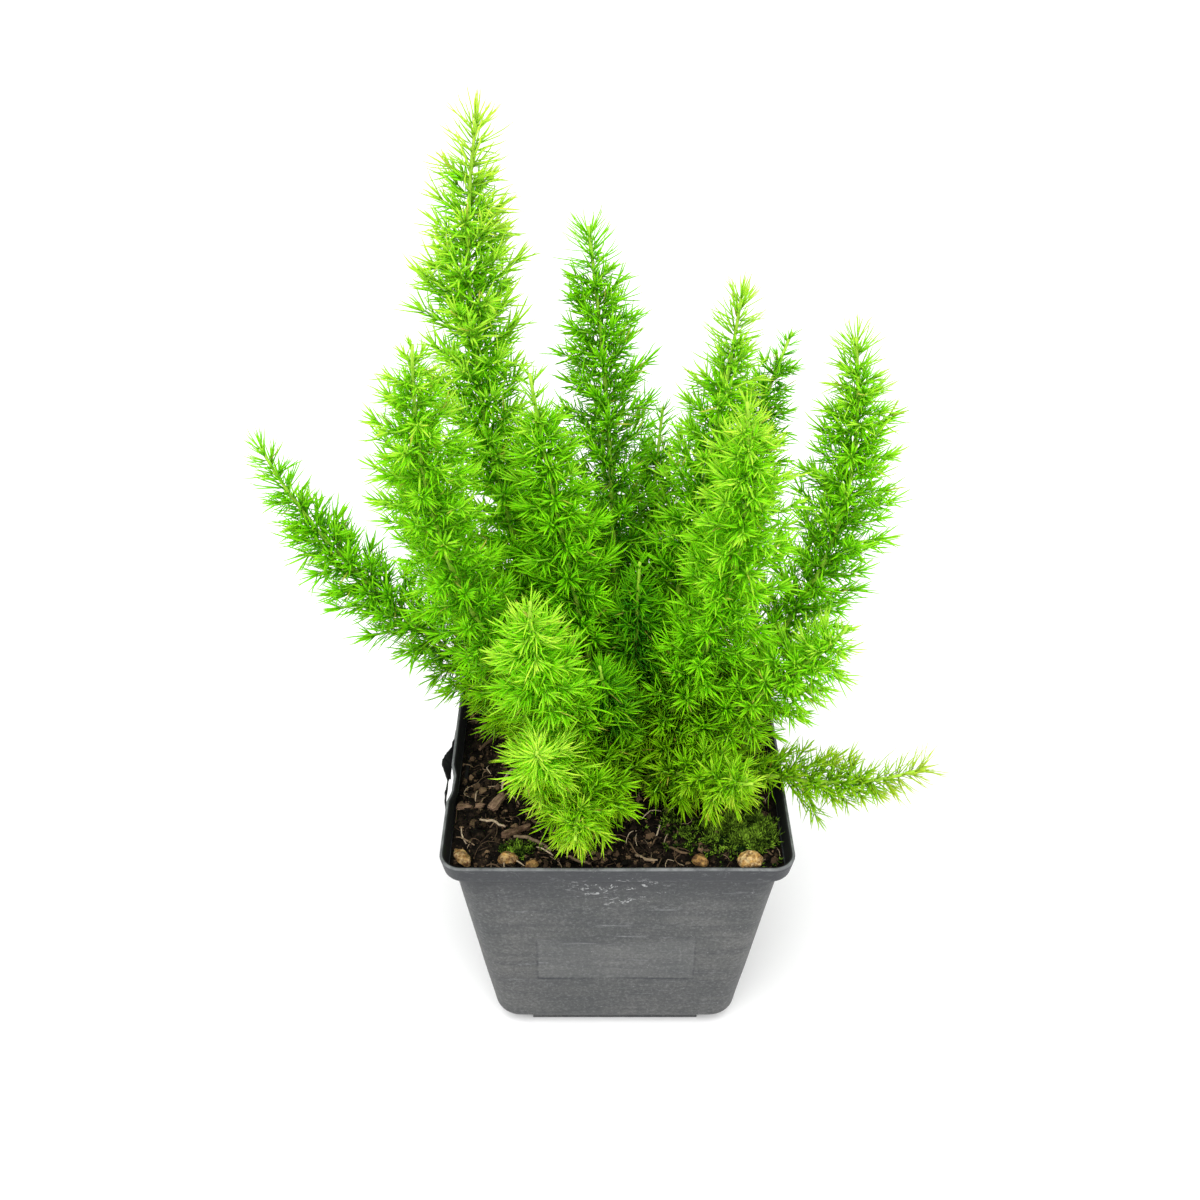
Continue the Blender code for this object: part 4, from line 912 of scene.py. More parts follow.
def pot_material(settings):
    """Matt recycled plastic: darker at the collar, near black inside from wet soil and painted shade, with a
    fine grain, faint level streaks, dust low down, a painted highlight, partly chalky wear, along the top of
    the lip, painted shade along the label field's sunken edge, and cracked lime marks under the front's rim."""
    kit = Nodes("nursery_pot_plastic")
    shaded_inside, field = kit.growth()[:2]
    split = kit.add("ShaderNodeSeparateXYZ", Vector=kit.place())
    x, height = split.outputs["X"], split.outputs["Z"]
    clouds = kit.noise(48.0, 5.0, 0.6)
    body = kit.mix(kit.spread(clouds, 0.38, 0.62, 0.0, 0.8), settings.plastic, settings.dust)
    streaks = kit.noise(420.0, 5.0, 0.62, kit.place((0.10, 0.10, 1.0)))
    body = kit.blend(body, settings.rim_plastic_and_edge_shade, streaks, 0.40, 0.66, 0.0, 0.50)
    body = kit.blend(body, settings.chalk_and_lip_highlight, streaks, 0.62, 0.74, 0.0, 0.30)
    mottle = kit.noise(1100.0, 4.0, 0.7)
    body = kit.blend(body, settings.rim_plastic_and_edge_shade, mottle, 0.35, 0.50, 0.45, 0.0)
    body = kit.blend(body, settings.chalk_and_lip_highlight, mottle, 0.52, 0.68, 0.0, 0.14)
    band = kit.maths("ADD", height, kit.maths("MULTIPLY", kit.maths("SUBTRACT", clouds, 0.5), 0.008))
    body = kit.blend(body, settings.rim_plastic_and_edge_shade, band, 0.060, 0.0745, 0.0, 0.80)
    off_middle = kit.maths("POWER", kit.maths("DIVIDE", x, 0.013), 2.0)
    off_level = kit.maths("POWER", kit.maths("DIVIDE", kit.maths("SUBTRACT", height, 0.0685), 0.008), 2.0)
    patch = kit.spread(kit.maths("ADD", off_middle, off_level), 0.3, 1.4, 1.0, 0.12)
    vein = kit.noise(150.0, 4.0, 0.7, kit.place((0.7, 0.7, 1.8)), 0.8)
    crack = kit.spread(kit.maths("ABSOLUTE", kit.maths("SUBTRACT", vein, 0.5)), 0.004, 0.022, 1.0, 0.0)
    broken = kit.spread(kit.noise(520.0, 3.0, 0.6), 0.50, 0.58)
    marks = kit.maths("MULTIPLY", kit.maths("MULTIPLY", crack, broken), patch)
    marks = kit.maths("MULTIPLY", marks, kit.spread(height, 0.050, 0.060))
    body = kit.mix(marks, body, settings.chalk_and_lip_highlight)
    specks = kit.spread(kit.noise(900.0, 3.0, 0.65), 0.70, 0.74, 0.0, 0.45)
    body = kit.mix(specks, body, settings.chalk_and_lip_highlight)
    # A painted highlight, partly chalky wear: broken light patches on the upturned top of the lip.
    wear = kit.spread(kit.noise(230.0, 4.0, 0.7), 0.35, 0.60, 0.10, 0.34)
    body = kit.mix(kit.maths("MULTIPLY", kit.spread(height, 0.0793, 0.0797), wear), body, settings.chalk_and_lip_highlight)
    body = kit.mix(kit.maths("MULTIPLY", field, 0.045), body, settings.chalk_and_lip_highlight)
    # Painted shade: a dark line of collar grey round the label field's sunken edge, broken by the streaks.
    outline = kit.spread(kit.maths("ABSOLUTE", kit.maths("SUBTRACT", field, 0.5)), 0.25, 0.47, 0.65, 0.0)
    outline = kit.maths("MULTIPLY", outline, kit.spread(streaks, 0.35, 0.60))
    body = kit.mix(outline, body, settings.rim_plastic_and_edge_shade)
    # The inside turns near black, and the torn skin mostly so: partly wet-soil stain, partly painted shade.
    body = kit.mix(shaded_inside, body, settings.stained_and_shaded)
    grain = kit.noise(1 / settings.grain_size, 3.0, 0.6)
    kit.relief(kit.maths("ADD", grain, kit.maths("MULTIPLY", streaks, 0.8)), 0.22, 0.0003)
    shine = kit.maths("ADD", kit.spread(clouds, 0.3, 0.7, 0.46, 0.60), kit.maths("MULTIPLY", marks, 0.3))
    shine = kit.maths("ADD", shine, kit.maths("MULTIPLY", shaded_inside, 0.35), clamp=True)
    return kit.finish(body, shine, Specular_IOR_Level=0.27)


def stone_material(settings):
    """Weathered stones: tan with rusty patches, pale worn spots and fine pits."""
    kit = Nodes("tan_pebble")
    clean = kit.growth()[1]
    patches = kit.noise(330.0, 4.0, 0.6)
    pits = kit.cells(950.0)
    body = kit.mix(kit.spread(patches, 0.46, 0.62), settings.tan_stone, settings.rust_stone)
    worn = kit.spread(kit.noise(760.0, 4.0, 0.7), 0.44, 0.60)
    body = kit.mix(kit.maths("MULTIPLY", worn, clean), body, settings.pale_stone)
    body = kit.blend(body, settings.rust_stone, pits, 0.34, 0.12, 0.0, 0.9)
    soiled = kit.spread(kit.noise(520.0, 4.0, 0.7), 0.40, 0.62)
    soiled = kit.maths("ADD", soiled, kit.spread(clean, 0.0, 1.0, 0.35, -0.30))
    body = kit.mix(kit.maths("MULTIPLY", soiled, 0.75, clamp=True), body, settings.bark_dark)
    kit.relief(kit.maths("ADD", pits, patches), 0.9, 0.0005)
    return kit.finish(body, kit.spread(patches, 0.3, 0.7, 0.70, 0.95), Specular_IOR_Level=0.15)


def bark_material(settings):
    """Dry bark: tan torn faces with dark grain along the chip."""
    kit = Nodes("dry_bark")
    along, chance, across, pale = kit.growth()
    where = kit.add("ShaderNodeCombineXYZ", X=kit.maths("MULTIPLY", along, 0.6),
                    Y=kit.maths("MULTIPLY", across, 9.0), Z=chance).outputs["Vector"]
    grain = kit.noise(2.2, 5.0, 0.65, where, 0.4)
    body = kit.mix(kit.spread(grain, 0.36, 0.64), settings.bark_dark, settings.bark_tan)
    soiled = kit.spread(kit.noise(750.0, 4.0, 0.7), 0.35, 0.65, 0.4, 1.4)
    soiled = kit.maths("SUBTRACT", soiled, pale, clamp=True)
    body = kit.mix(kit.maths("MULTIPLY", soiled, 0.9), body, settings.bark_dark)
    kit.relief(grain, 0.8, 0.0003)
    return kit.finish(body, kit.spread(grain, 0.3, 0.7, 0.9, 0.7), Specular_IOR_Level=0.10)


def moss_material(settings):
    """Moss: dark in its depth, bright at the tips, yellower in patches."""
    kit = Nodes("cushion_moss")
    height, chance = kit.growth()[:2]
    patches = kit.noise(300.0, 3.0)
    lit = kit.maths("MULTIPLY", height, 0.65)
    lit = kit.maths("ADD", lit, kit.spread(chance, 0.0, 1.0, -0.45, 0.60), clamp=True)
    body = kit.mix(lit, settings.dark_green, settings.bright_green)
    body = kit.blend(body, settings.dark_green, patches, 0.42, 0.62, 0.0, 0.85)
    kit.relief(kit.noise(2400.0, 2.0), 0.4, 0.0002)
    return kit.finish(body, kit.spread(patches, 0.3, 0.7, 0.75, 0.95), Specular_IOR_Level=0.06)


def root_material(settings):
    """Cream root skin with shallow rings."""
    kit = Nodes("root_crown_skin")
    rings = kit.noise(500.0, 4.0, 0.6, kit.place((0.4, 0.4, 2.0)))
    body = kit.mix(kit.spread(rings, 0.45, 0.7, 0.0, 0.6), settings.root_cream, (0.26, 0.15, 0.07))
    kit.relief(rings, 0.6, 0.0004)
    return kit.finish(body, kit.spread(rings, 0.3, 0.7, 0.6, 0.85))


def wear(node, material):
    """Gives a carried-over solid its material."""
    node.data.materials.clear()
    node.data.materials.append(material)


def level_columns(half, corner):
    """Places across one straight side: fixed ones over the label field, close together at its edges, and
    evenly spread ones from there to the corner."""
    middle = np.linspace(0, FIELD_HALF - 0.0010, 11)
    edge = FIELD_HALF + np.linspace(-0.0006, 0.0006, 7)
    outer = FIELD_HALF + 0.0015
    right = np.concatenate([middle, edge, outer + (half - corner - outer) * np.linspace(0, 1, 7)])
    return np.concatenate([-right[:0:-1], right])


def pot_outline(half, corner):
    """Points round a square of that half width with arcs at its corners, with the columns of
    level_columns on each side."""
    return square_outline(half, corner, level_columns(half, corner)[:-1], 10)


def body_size(height):
    """Half width and corner radius of the outside below the collar: straight lines in the height."""
    share = (height - FLOOR_UNDER) / (SHOULDER_HEIGHT - FLOOR_UNDER)
    return BASE_HALF + (SHOULDER_HALF - BASE_HALF) * share, BASE_CORNER + (RIM_CORNER - BASE_CORNER) * share


def wall_ring(height, pull):
    """A ring of the body at that height, pulled in from the outside."""
    half, corner = body_size(height)
    return half - pull, corner - pull, height


def edge_rings(inset, angles):
    """Rings of the base's rounded edge, on the wall's face that lies inset from the outside: a quarter
    circle, by its angles."""
    radius, low = EDGE_ROUNDING - inset, FLOOR_UNDER + inset
    return [wall_ring(low + radius * (1 - math.cos(angle)), inset + radius * (1 - math.sin(angle)))
            for angle in angles]


def pot_profile():
    """Half width, corner radius and height of each ring of the walls: up the outside from the base's
    rounded edge, over the collar's soft step and the lip, and down the inside to the floor."""
    rings = edge_rings(0.0, np.linspace(0, math.pi / 2, 9))
    field = np.concatenate([FIELD_BOTTOM + np.linspace(-FIELD_MARGIN, FIELD_MARGIN, 10),
                            np.linspace(FIELD_TOP - FIELD_BOW - FIELD_MARGIN, FIELD_TOP + FIELD_MARGIN, 18)])
    plain = np.concatenate([np.linspace(WALL_FOOT, 0.0235, 12), np.linspace(0.0270, 0.0410, 9),
                            np.linspace(0.0470, SHOULDER_HEIGHT - 0.0004, 18)])
    rings += [wall_ring(height, 0.0) for height in np.sort(np.concatenate([field, plain]))]
    rings += [(SHOULDER_HALF + (SKIRT_HALF - SHOULDER_HALF) * share ** 1.5, RIM_CORNER,
               SHOULDER_HEIGHT + (COLLAR_LOW - SHOULDER_HEIGHT) * share) for share in np.linspace(0, 1, 7)[1:]]
    rings += [(SKIRT_HALF + (RIM_HALF - SKIRT_HALF) * share, RIM_CORNER,
               COLLAR_LOW + (RIM_TOP - LIP - COLLAR_LOW) * share) for share in np.linspace(0, 1, 8)[1:]]
    middle, bend = RIM_HALF - WALL / 2, RIM_CORNER - WALL / 2
    for angle in np.linspace(0, math.pi, 9)[1:]:
        out = WALL / 2 * math.cos(angle)
        rings.append((middle + out, bend + out, RIM_TOP - LIP + LIP * math.sin(angle)))
    inside = RIM_HALF - WALL - (RIM_HALF - SKIRT_HALF) * np.linspace(0, 1, 5)[1:]
    rings += [(half, RIM_CORNER - WALL, height)
              for half, height in zip(inside, np.linspace(RIM_TOP - LIP, SHELF_TOP, 5)[1:])]
    rings += [wall_ring(height, WALL) for height in np.linspace(SHELF_TOP, WALL_FOOT, 16)]
    return rings + edge_rings(WALL, np.linspace(math.pi / 2, 0, 5)[1:])


def smooth_step(value, low, high):
    """0 below low, 1 above high, and 3t² - 2t³ between."""
    t = np.clip((value - low) / (high - low), 0, 1)
    return t * t * (3 - 2 * t)


def pot_walls():
    """The walls as one closed ring of rings. The front's label field lies a little deeper, and slow
    drift bows the sheet in and out as moulded thin walls do. The left of the rim is pushed in behind the
    torn skin. Also tells which points are inside the pot, and which are on the label field."""
    profile = pot_profile()
    rings = np.stack([np.insert(pot_outline(half, corner), 2, height, axis=1)
                      for half, corner, height in profile])
    # Rings past the top of the lip are the inside, which the material turns near black: partly soil stain,
    # partly painted shade.
    shaded_inside = np.arange(len(profile)) > np.argmax([height for half, corner, height in profile])
    x, y, z = rings[..., 0], rings[..., 1], rings[..., 2]
    top = FIELD_TOP - FIELD_BOW * np.cos(np.clip(x / FIELD_HALF, -1, 1) * math.pi / 2)
    inside = np.prod([smooth_step(depth, -FIELD_EDGE, FIELD_EDGE)
                      for depth in (FIELD_HALF - np.abs(x), z - FIELD_BOTTOM, top - z)], axis=0)
    facing = (y < FRONT_FACE) & ~shaded_inside[:, None]
    rings[..., 1] += np.where(facing, FIELD_DEPTH * inside, 0)
    flat = together(x, y, z)
    bow = 0.00020 * drift(flat, 0.026, 71) + 0.00006 * drift(flat, 0.009, 72)
    bow = bow * smooth_step(z, 0.004, 0.012) * (1 - 0.6 * smooth_step(z, 0.066, 0.074))
    rings[..., :2] *= (1 + bow / MEAN_HALF)[..., None]
    rings[..., 2] += np.where(z > 0.0790, 0.00022 * drift(flat, 0.013, 73), 0)
    torn = smooth_step(y, *DENT_STARTS) * (1 - smooth_step(y, *DENT_ENDS))
    pushed = TEAR_DENT * torn * smooth_step(z, 0.0755, 0.0785) * (1 + 0.3 * drift(flat, 0.003, 74))
    rings[..., 0] += np.where(x < LEFT_FACE, pushed, 0)
    field = np.where(facing, inside, 0)
    return rings.reshape(-1, 3), [ring_faces(*rings.shape[:2])], together(shaded_inside[:, None], field, 0.5, 0.0)


def ring_faces(count, sides):
    """Quads between rings, the last of which closes on the first."""
    here, after = np.arange(sides), (np.arange(sides) + 1) % sides
    low, high = (np.arange(count) * sides)[:, None], (np.arange(1, count + 1) % count * sides)[:, None]
    return np.stack([low + here, low + after, high + after, high + here], axis=-1).reshape(-1, 4)


def floor_quarters():
    """The floor round the four drain holes: in each quarter, faces run from the hole's circle out to the
    quarter's edge, on the underside, the top, the edge and the hole's wall."""
    half, corner = BASE_HALF - EDGE_ROUNDING - 0.0001, BASE_CORNER - EDGE_ROUNDING
    line = np.linspace(0, 1, 13)[:-1, None]
    arc = corner_arc(half, corner, 12)
    turn_in, turn_out = np.array([half, half - corner]), np.array([half - corner, half])
    start, far = np.array([half, 0.0]), np.array([0.0, half])
    edge = np.concatenate([line * start, start + line * (turn_in - start), arc,
                           turn_out + line * (far - turn_out), far - line * far])
    hole = np.array([DRAIN_PLACE, DRAIN_PLACE])
    circle = hole + DRAIN_RADIUS * unit(edge - hole)
    low, high = FLOOR_UNDER, FLOOR_UNDER + WALL
    rings = np.stack([np.insert(line, 2, level, axis=1) for line, level in
                      ((edge, high), (circle, high), (circle, low), (edge, low))])
    for turn in range(4):
        yield turned(rings.reshape(-1, 3), turn * math.pi / 2), [ring_faces(*rings.shape[:2])]


def foot_plate():
    """The foot: a square plate whose corners are cut by round notches."""
    reach = math.sqrt(NOTCH_RADIUS ** 2 - (FOOT_HALF - NOTCH_PLACE) ** 2)
    stop = NOTCH_PLACE - reach
    side = np.stack([np.full(20, FOOT_HALF), np.linspace(-stop, stop, 20)], axis=1)
    first = math.atan2(-reach, FOOT_HALF - NOTCH_PLACE)
    angles = np.linspace(first, -1.5 * math.pi - first, 20)[1:-1]
    notch = NOTCH_PLACE + NOTCH_RADIUS * np.stack([np.cos(angles), np.sin(angles)], axis=1)
    outline = four_sides(np.concatenate([side, notch]))
    levels = [(0.9965, 0.0), (1.0, 0.00015), (1.0, FLOOR_UNDER + 0.0003)]
    return capped(np.stack([np.insert(outline * size, 2, level, axis=1) for size, level in levels]))


def torn_skin():
    """The torn skin of the collar: a ragged strip on the left wall. Its tongue leans out by a bell curve
    in y, from the collar's lower edge up to the lip, and its front part is a narrow band that stands
    clear of the rim. Each section is a thin slab between its lower and its upper edge."""
    y = TEAR_CENTRE_Y + np.linspace(-1, 1, 110) * TEAR_LENGTH / 2
    line = together(y, 0.0, 0.0)
    ends = smooth_step(y, y[0], y[0] + 0.004) * (1 - smooth_step(y, y[-1] - 0.008, y[-1]))
    tongue = np.exp(-((y + 0.0045) / 0.0048) ** 2)
    band = 1 - smooth_step(y, -0.0115, -0.0075)
    ragged = drift(line, 0.0024, 81)
    out_high = ends * (0.0006 + 0.0022 * tongue + 0.0003 * ragged)
    out_low = ends * (0.0005 * band + 0.0004 * tongue)
    high = RIM_TOP - 0.0007 + 0.0004 * drift(line, 0.0030, 82) - 0.0009 * np.abs(drift(line, 0.0011, 83))
    low = TEAR_LOW + ends * (0.0019 * band + 0.0005 * drift(line, 0.0018, 84)) - 0.0003 * tongue
    edges = [together(-(RIM_HALF + out), y, level) for out, level in ((out_low, low), (out_high, high))]
    long = (edges[1] - edges[0]) / 2
    thin = unit(np.cross(long, [0.0, 1.0, 0.0]))
    angles = round_turn(12) + math.pi / 12
    boxy = 1 / (np.abs(np.cos(angles)) ** 6 + np.abs(np.sin(angles)) ** 6) ** (1 / 6)
    thick = (WALL / 5 * (1 + 0.25 * ragged))[:, None] * boxy * np.cos(angles)
    rings = sum(edges)[:, None] / 2 + thick[..., None] * thin[:, None]
    return capped(rings + (boxy * np.sin(angles))[:, None] * long[:, None])


class FERN_OT_finish_pot(bpy.types.Operator):
    """Moulds the pot with its collar, label field, foot and torn skin, and gives the root crown its skin"""

    bl_idname = "fern.finish_pot"
    bl_label = "Mould Pot"

    def execute(self, context):
        piece = Piece()
        piece.add(*pot_walls())
        # The torn skin takes 0.8 of the inside's near black: partly dirt, partly painted shade.
        piece.add_even(torn_skin(), 0.8, 0.0)
        for body in (*floor_quarters(), foot_plate()):
            piece.add_even(body, 0.0, 0.0, smooth=False)
        made = piece.build("pot_moulded", [pot_material(context.scene.fern_pot)])
        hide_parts("pot")
        wear(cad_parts["root_crown"], root_material(context.scene.fern_stone))
        return {"FINISHED"}


class FERN_OT_grow_fronds(bpy.types.Operator):
    """Grows each frond's stem, branchlets and needles in the place of its solid"""

    bl_idname = "fern.grow_fronds"
    bl_label = "Grow Fronds"

    def execute(self, context):
        settings = context.scene.fern_foliage
        leaf, stem = needle_material(settings), stem_material(settings)
        for order, name in enumerate(FRONDS):
            made = grow_frond(name, settings, order).build(name + "_needles", [leaf, stem])
            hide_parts(name)
        return {"FINISHED"}


def soil_body():
    """The mix as one closed body: rings of rounded squares from the middle of its crumbly top out to
    the collar, down along the pot's inside to the floor, and back to the middle."""
    inset = WALL + PIECE_GAP
    half, corner = COLLAR_INSIDE - PIECE_GAP, RIM_CORNER - inset
    outline = rounded_square(half, corner, MIX_STEPS)
    flat = outline * np.linspace(0.012, 1.0, 66)[:, None, None]
    height = soil_surface(flat[..., 0], flat[..., 1])
    top = np.concatenate([flat, height[..., None]], axis=-1)
    narrow, tight = BASE_HALF - inset - 0.0006, BASE_CORNER - inset
    drop = [(half, corner, SHELF_TOP + PIECE_GAP), (SHOULDER_HALF - inset, corner, SHELF_TOP - PIECE_GAP),
            (narrow, tight, SOIL_BOTTOM + 0.0030), (narrow - 0.0018, tight - 0.0018, SOIL_BOTTOM),
            (0.0004, 0.0002, SOIL_BOTTOM)]
    low = [np.insert(rounded_square(wide, curve, MIX_STEPS), 2, level, axis=1) for wide, curve, level in drop]
    return capped(np.concatenate([top, low])[::-1])


def scatter(draw, count, half):
    """Random places inside a square."""
    return draw.uniform(-half, half, (count, 2))


def random_ways(draw, count, lift):
    """Random directions that lie near level."""
    turn = draw.uniform(0, TURN, count)
    return unit(together(np.cos(turn), np.sin(turn), draw.normal(0, lift, count)))


def lumps(piece, draw, spots, sizes, lift, tone, rings=3):
    """Irregular lumps: four-sided bodies of that many rings between two end points on an ellipsoid, each
    point moved at random by up to a quarter of the lump's size."""
    count = len(spots)
    way = random_ways(draw, count, 0.5)
    side = unit(np.cross(way, draw.normal(0, 1, (count, 3))))
    other = np.cross(way, side)
    steps = np.linspace(-1, 1, rings + 2)[1:-1]
    girth = np.sqrt(1 - steps ** 2)
    ground = soil_surface(spots[:, 0], spots[:, 1]) + lift * sizes
    centre = np.concatenate([spots, ground[:, None]], axis=1)
    half = (sizes * draw.uniform(0.8, 1.6, count))[:, None, None] * way[:, None]
    radius = sizes[:, None] * girth * draw.uniform(0.75, 1.2, (count, rings))
    points, faces = tubes(centre[:, None] + half * steps[:, None], side[:, None], other[:, None], radius,
                          radius * 0.75, 4)
    points[:, -2:] = centre[:, None] + half * np.array([[-1.0], [1.0]])
    points = points + draw.uniform(-0.25, 0.25, points.shape) * sizes[:, None, None]
    marks = together(0.5, np.broadcast_to(tone[:, None], points.shape[:2]), 0.5, 0.0)
    piece.add(points, faces, marks, smooth=False)


def strew(piece, draw, count, half, small, large, lift, rings=3):
    """Lumps of sizes from small to large at random places inside a square."""
    spots, sizes = scatter(draw, count, half), draw.uniform(small, large, count)
    lumps(piece, draw, spots, sizes, lift, draw.uniform(0, 1, count), rings)


def strands(piece, draw, starts, ways, lengths, radii, paleness, rings=6, sag=0.4, sides=5):
    """Bent strands that lie on the mix: a strand's line runs along its way with a sideways arc and a
    random wave, held at the height of the mix under it."""
    count = len(starts)
    t = np.linspace(0, 1, rings)
    sideways = np.stack([-ways[:, 1], ways[:, 0]], axis=1)
    arc = draw.normal(0, sag, (count, 1)) * (4 * t * (1 - t)) * 0.3
    wave = draw.normal(0, sag, (count, 1)) * np.sin(TURN * t + draw.uniform(0, 6.28, (count, 1))) * 0.1
    flat = starts[:, None] + lengths[:, None, None] * (t[:, None] * ways[:, None, :2]
                                                       + (arc + wave)[..., None] * sideways[:, None])
    flat = np.clip(flat, -COLLAR_INSIDE + 0.0008, COLLAR_INSIDE - 0.0008)
    arch = np.abs(draw.normal(0, 0.0006, (count, 1))) * np.sin(math.pi * t)
    height = soil_surface(flat[..., 0], flat[..., 1]) + radii[:, None] * 0.9 + arch + 0.0002
    centres = np.concatenate([flat, height[..., None]], axis=-1)
    way = unit(np.gradient(centres, axis=1))
    side = unit(np.cross(way, [0.0, 0.0, 1.0]))
    other = np.cross(way, side)
    girth = radii[:, None] * (0.55 + 0.45 * np.sin(math.pi * np.clip(t, 0.06, 0.94)) ** 0.5)
    points, faces = tubes(centres, side, other, girth, girth, sides)
    along = np.broadcast_to(np.concatenate([np.repeat(t, sides), [0, 1]]), points.shape[:2])
    piece.add(points, faces, together(along, 0.5, np.broadcast_to(paleness[:, None], points.shape[:2]), 0.0))


class FERN_OT_fill_mix(bpy.types.Operator):
    """Fills the pot with potting mix, and strews crumbs, clods, fibres, sticks and dry needles on it"""

    bl_idname = "fern.fill_mix"
    bl_label = "Fill Mix"

    def execute(self, context):
        settings = context.scene.fern_soil
        draw = np.random.default_rng(settings.seed)
        peat = peat_material(settings, "potting_mix_peat", 0.15)
        loose = peat_material(settings, "loose_crumb", 0.80)
        fibre = fibre_material(settings)
        bed = Piece()
        bed.add_even(soil_body(), 0.5, 0.3)
        made = bed.build("potting_mix_bed", [peat])
        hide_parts("soil")
        half = COLLAR_INSIDE - 0.0016
        crumbs = Piece()
        strew(crumbs, draw, settings.grains, half, 0.00016, 0.00042, 0.6, rings=1)
        bits = len(MOSS_BITS)
        lumps(crumbs, draw, np.array(MOSS_BITS) / 1000, np.full(bits, 0.0006), 3.2, np.ones(bits))
        strew(crumbs, draw, settings.crumbs, half, 0.0003, 0.0010, 0.35)
        strew(crumbs, draw, settings.clods, half - 0.001, 0.0007, 0.0015, 0.25)
        made = crumbs.build("mix_crumbs", [loose])
        strewn = Piece()
        count = settings.fibres
        strands(strewn, draw, scatter(draw, count, half), random_ways(draw, count, 0.0),
                draw.uniform(0.002, 0.009, count), draw.uniform(0.00007, 0.00020, count),
                draw.uniform(0.0, 1.0, count) ** 2.4, sag=1.0, sides=4)
        count = settings.litter
        strands(strewn, draw, scatter(draw, count, half), random_ways(draw, count, 0.0),
                draw.uniform(0.004, 0.008, count), draw.uniform(0.00018, 0.00030, count),
                draw.uniform(0.25, 1.0, count), sag=0.3, sides=4)
        start, end, radii, pale = (np.array(column) for column in zip(*STICKS))
        run = end / 1000 - start / 1000
        reach = np.linalg.norm(run, axis=1)
        ways = np.concatenate([run / reach[:, None], np.zeros((len(run), 1))], axis=1)
        strands(strewn, draw, start / 1000, ways, reach, radii / 1000, pale, rings=12, sag=0.25, sides=8)
        made = strewn.build("mix_fibres_and_sticks", [fibre])
        return {"FINISHED"}


def moss_bed():
    """The cushion's body: rings of a wavy ellipse, level with the mix below, and above them a dome that
    falls off with the square of the distance from its middle, with drift on it."""
    turns = round_turn(48)
    shares = np.linspace(0.02, 1.0, 16)[:, None]
    wave = 0.90 + 0.09 * np.sin(3 * turns) + 0.07 * np.sin(7 * turns + 1.0)
    x = MOSS_CENTRE[0] + MOSS_RADII[0] * shares * wave * np.cos(turns)
    y = MOSS_CENTRE[1] + MOSS_RADII[1] * shares * wave * np.sin(turns)
    swell = 0.8 * MOSS_THICKNESS * (1 - shares ** 2)
    swell = swell + 0.0007 * drift(together(x, y, 0.0), 0.0022, 41) * (1 - shares ** 3)
    ground = soil_height(x, y) + 2 * PIECE_GAP
    top = together(x, y, ground + np.maximum(swell, 0.0))
    return capped(np.concatenate([together(x, y, ground), top[::-1]]))


def cushion_shoots(draw, count):
    """Feet, directions and relative heights of shoots spread evenly over the cushion, but for its bare
    spots, which are where the drift is low."""
    turn, share = draw.uniform(0, TURN, count), np.sqrt(draw.uniform(0, 1.06, count))
    x = MOSS_CENTRE[0] + MOSS_RADII[0] * share * np.cos(turn)
    y = MOSS_CENTRE[1] + MOSS_RADII[1] * share * np.sin(turn)
    dome = 0.7 * MOSS_THICKNESS * np.maximum(1.0 - share ** 2, 0.0)
    base = together(x, y, soil_height(x, y) + dome)
    clump = drift(base * [1, 1, 0], MOSS_CLUMP, 43)
    base, clump = base[clump > MOSS_BARE], clump[clump > MOSS_BARE]
    lean = upright(draw, len(base), 0.35)
    return base, lean, draw.uniform(0.6, 1.2, len(base)) * (1 + 0.6 * clump)


def stray_shoots(draw, count):
    """The same of shoots strewn round the places of STRAY_MOSS."""
    spots = np.array(STRAY_MOSS)[draw.integers(0, len(STRAY_MOSS), count)]
    half = COLLAR_INSIDE - 0.0020
    flat = np.clip(spots[:, :2] + draw.normal(0, 1, (count, 2)) * spots[:, 2:], -half, half)
    base = np.column_stack([flat, soil_surface(flat[:, 0], flat[:, 1])])
    return base, upright(draw, count, 0.4), draw.uniform(0.5, 1.0, count)


class FERN_OT_grow_moss(bpy.types.Operator):
    """Grows the moss cushion with its shoots"""

    bl_idname = "fern.grow_moss"
    bl_label = "Grow Moss"

    def execute(self, context):
        settings = context.scene.fern_moss
        draw = np.random.default_rng(settings.seed)
        piece = Piece()
        piece.add_even(moss_bed(), 0.0, 0.1)
        for shoots, count in ((cushion_shoots, settings.shoots), (stray_shoots, settings.strays)):
            base, lean, tall = shoots(draw, count)
            grow_shoots(piece, draw, base, lean, settings.shoot_height * tall)
        made = piece.build("moss_cushion_shoots", [moss_material(settings)])
        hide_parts("moss_cushion")
        return {"FINISHED"}


def upright(draw, count, lean):
    """Random directions near the vertical."""
    return unit(together(draw.normal(0, lean, count), draw.normal(0, lean, count), 1.0))


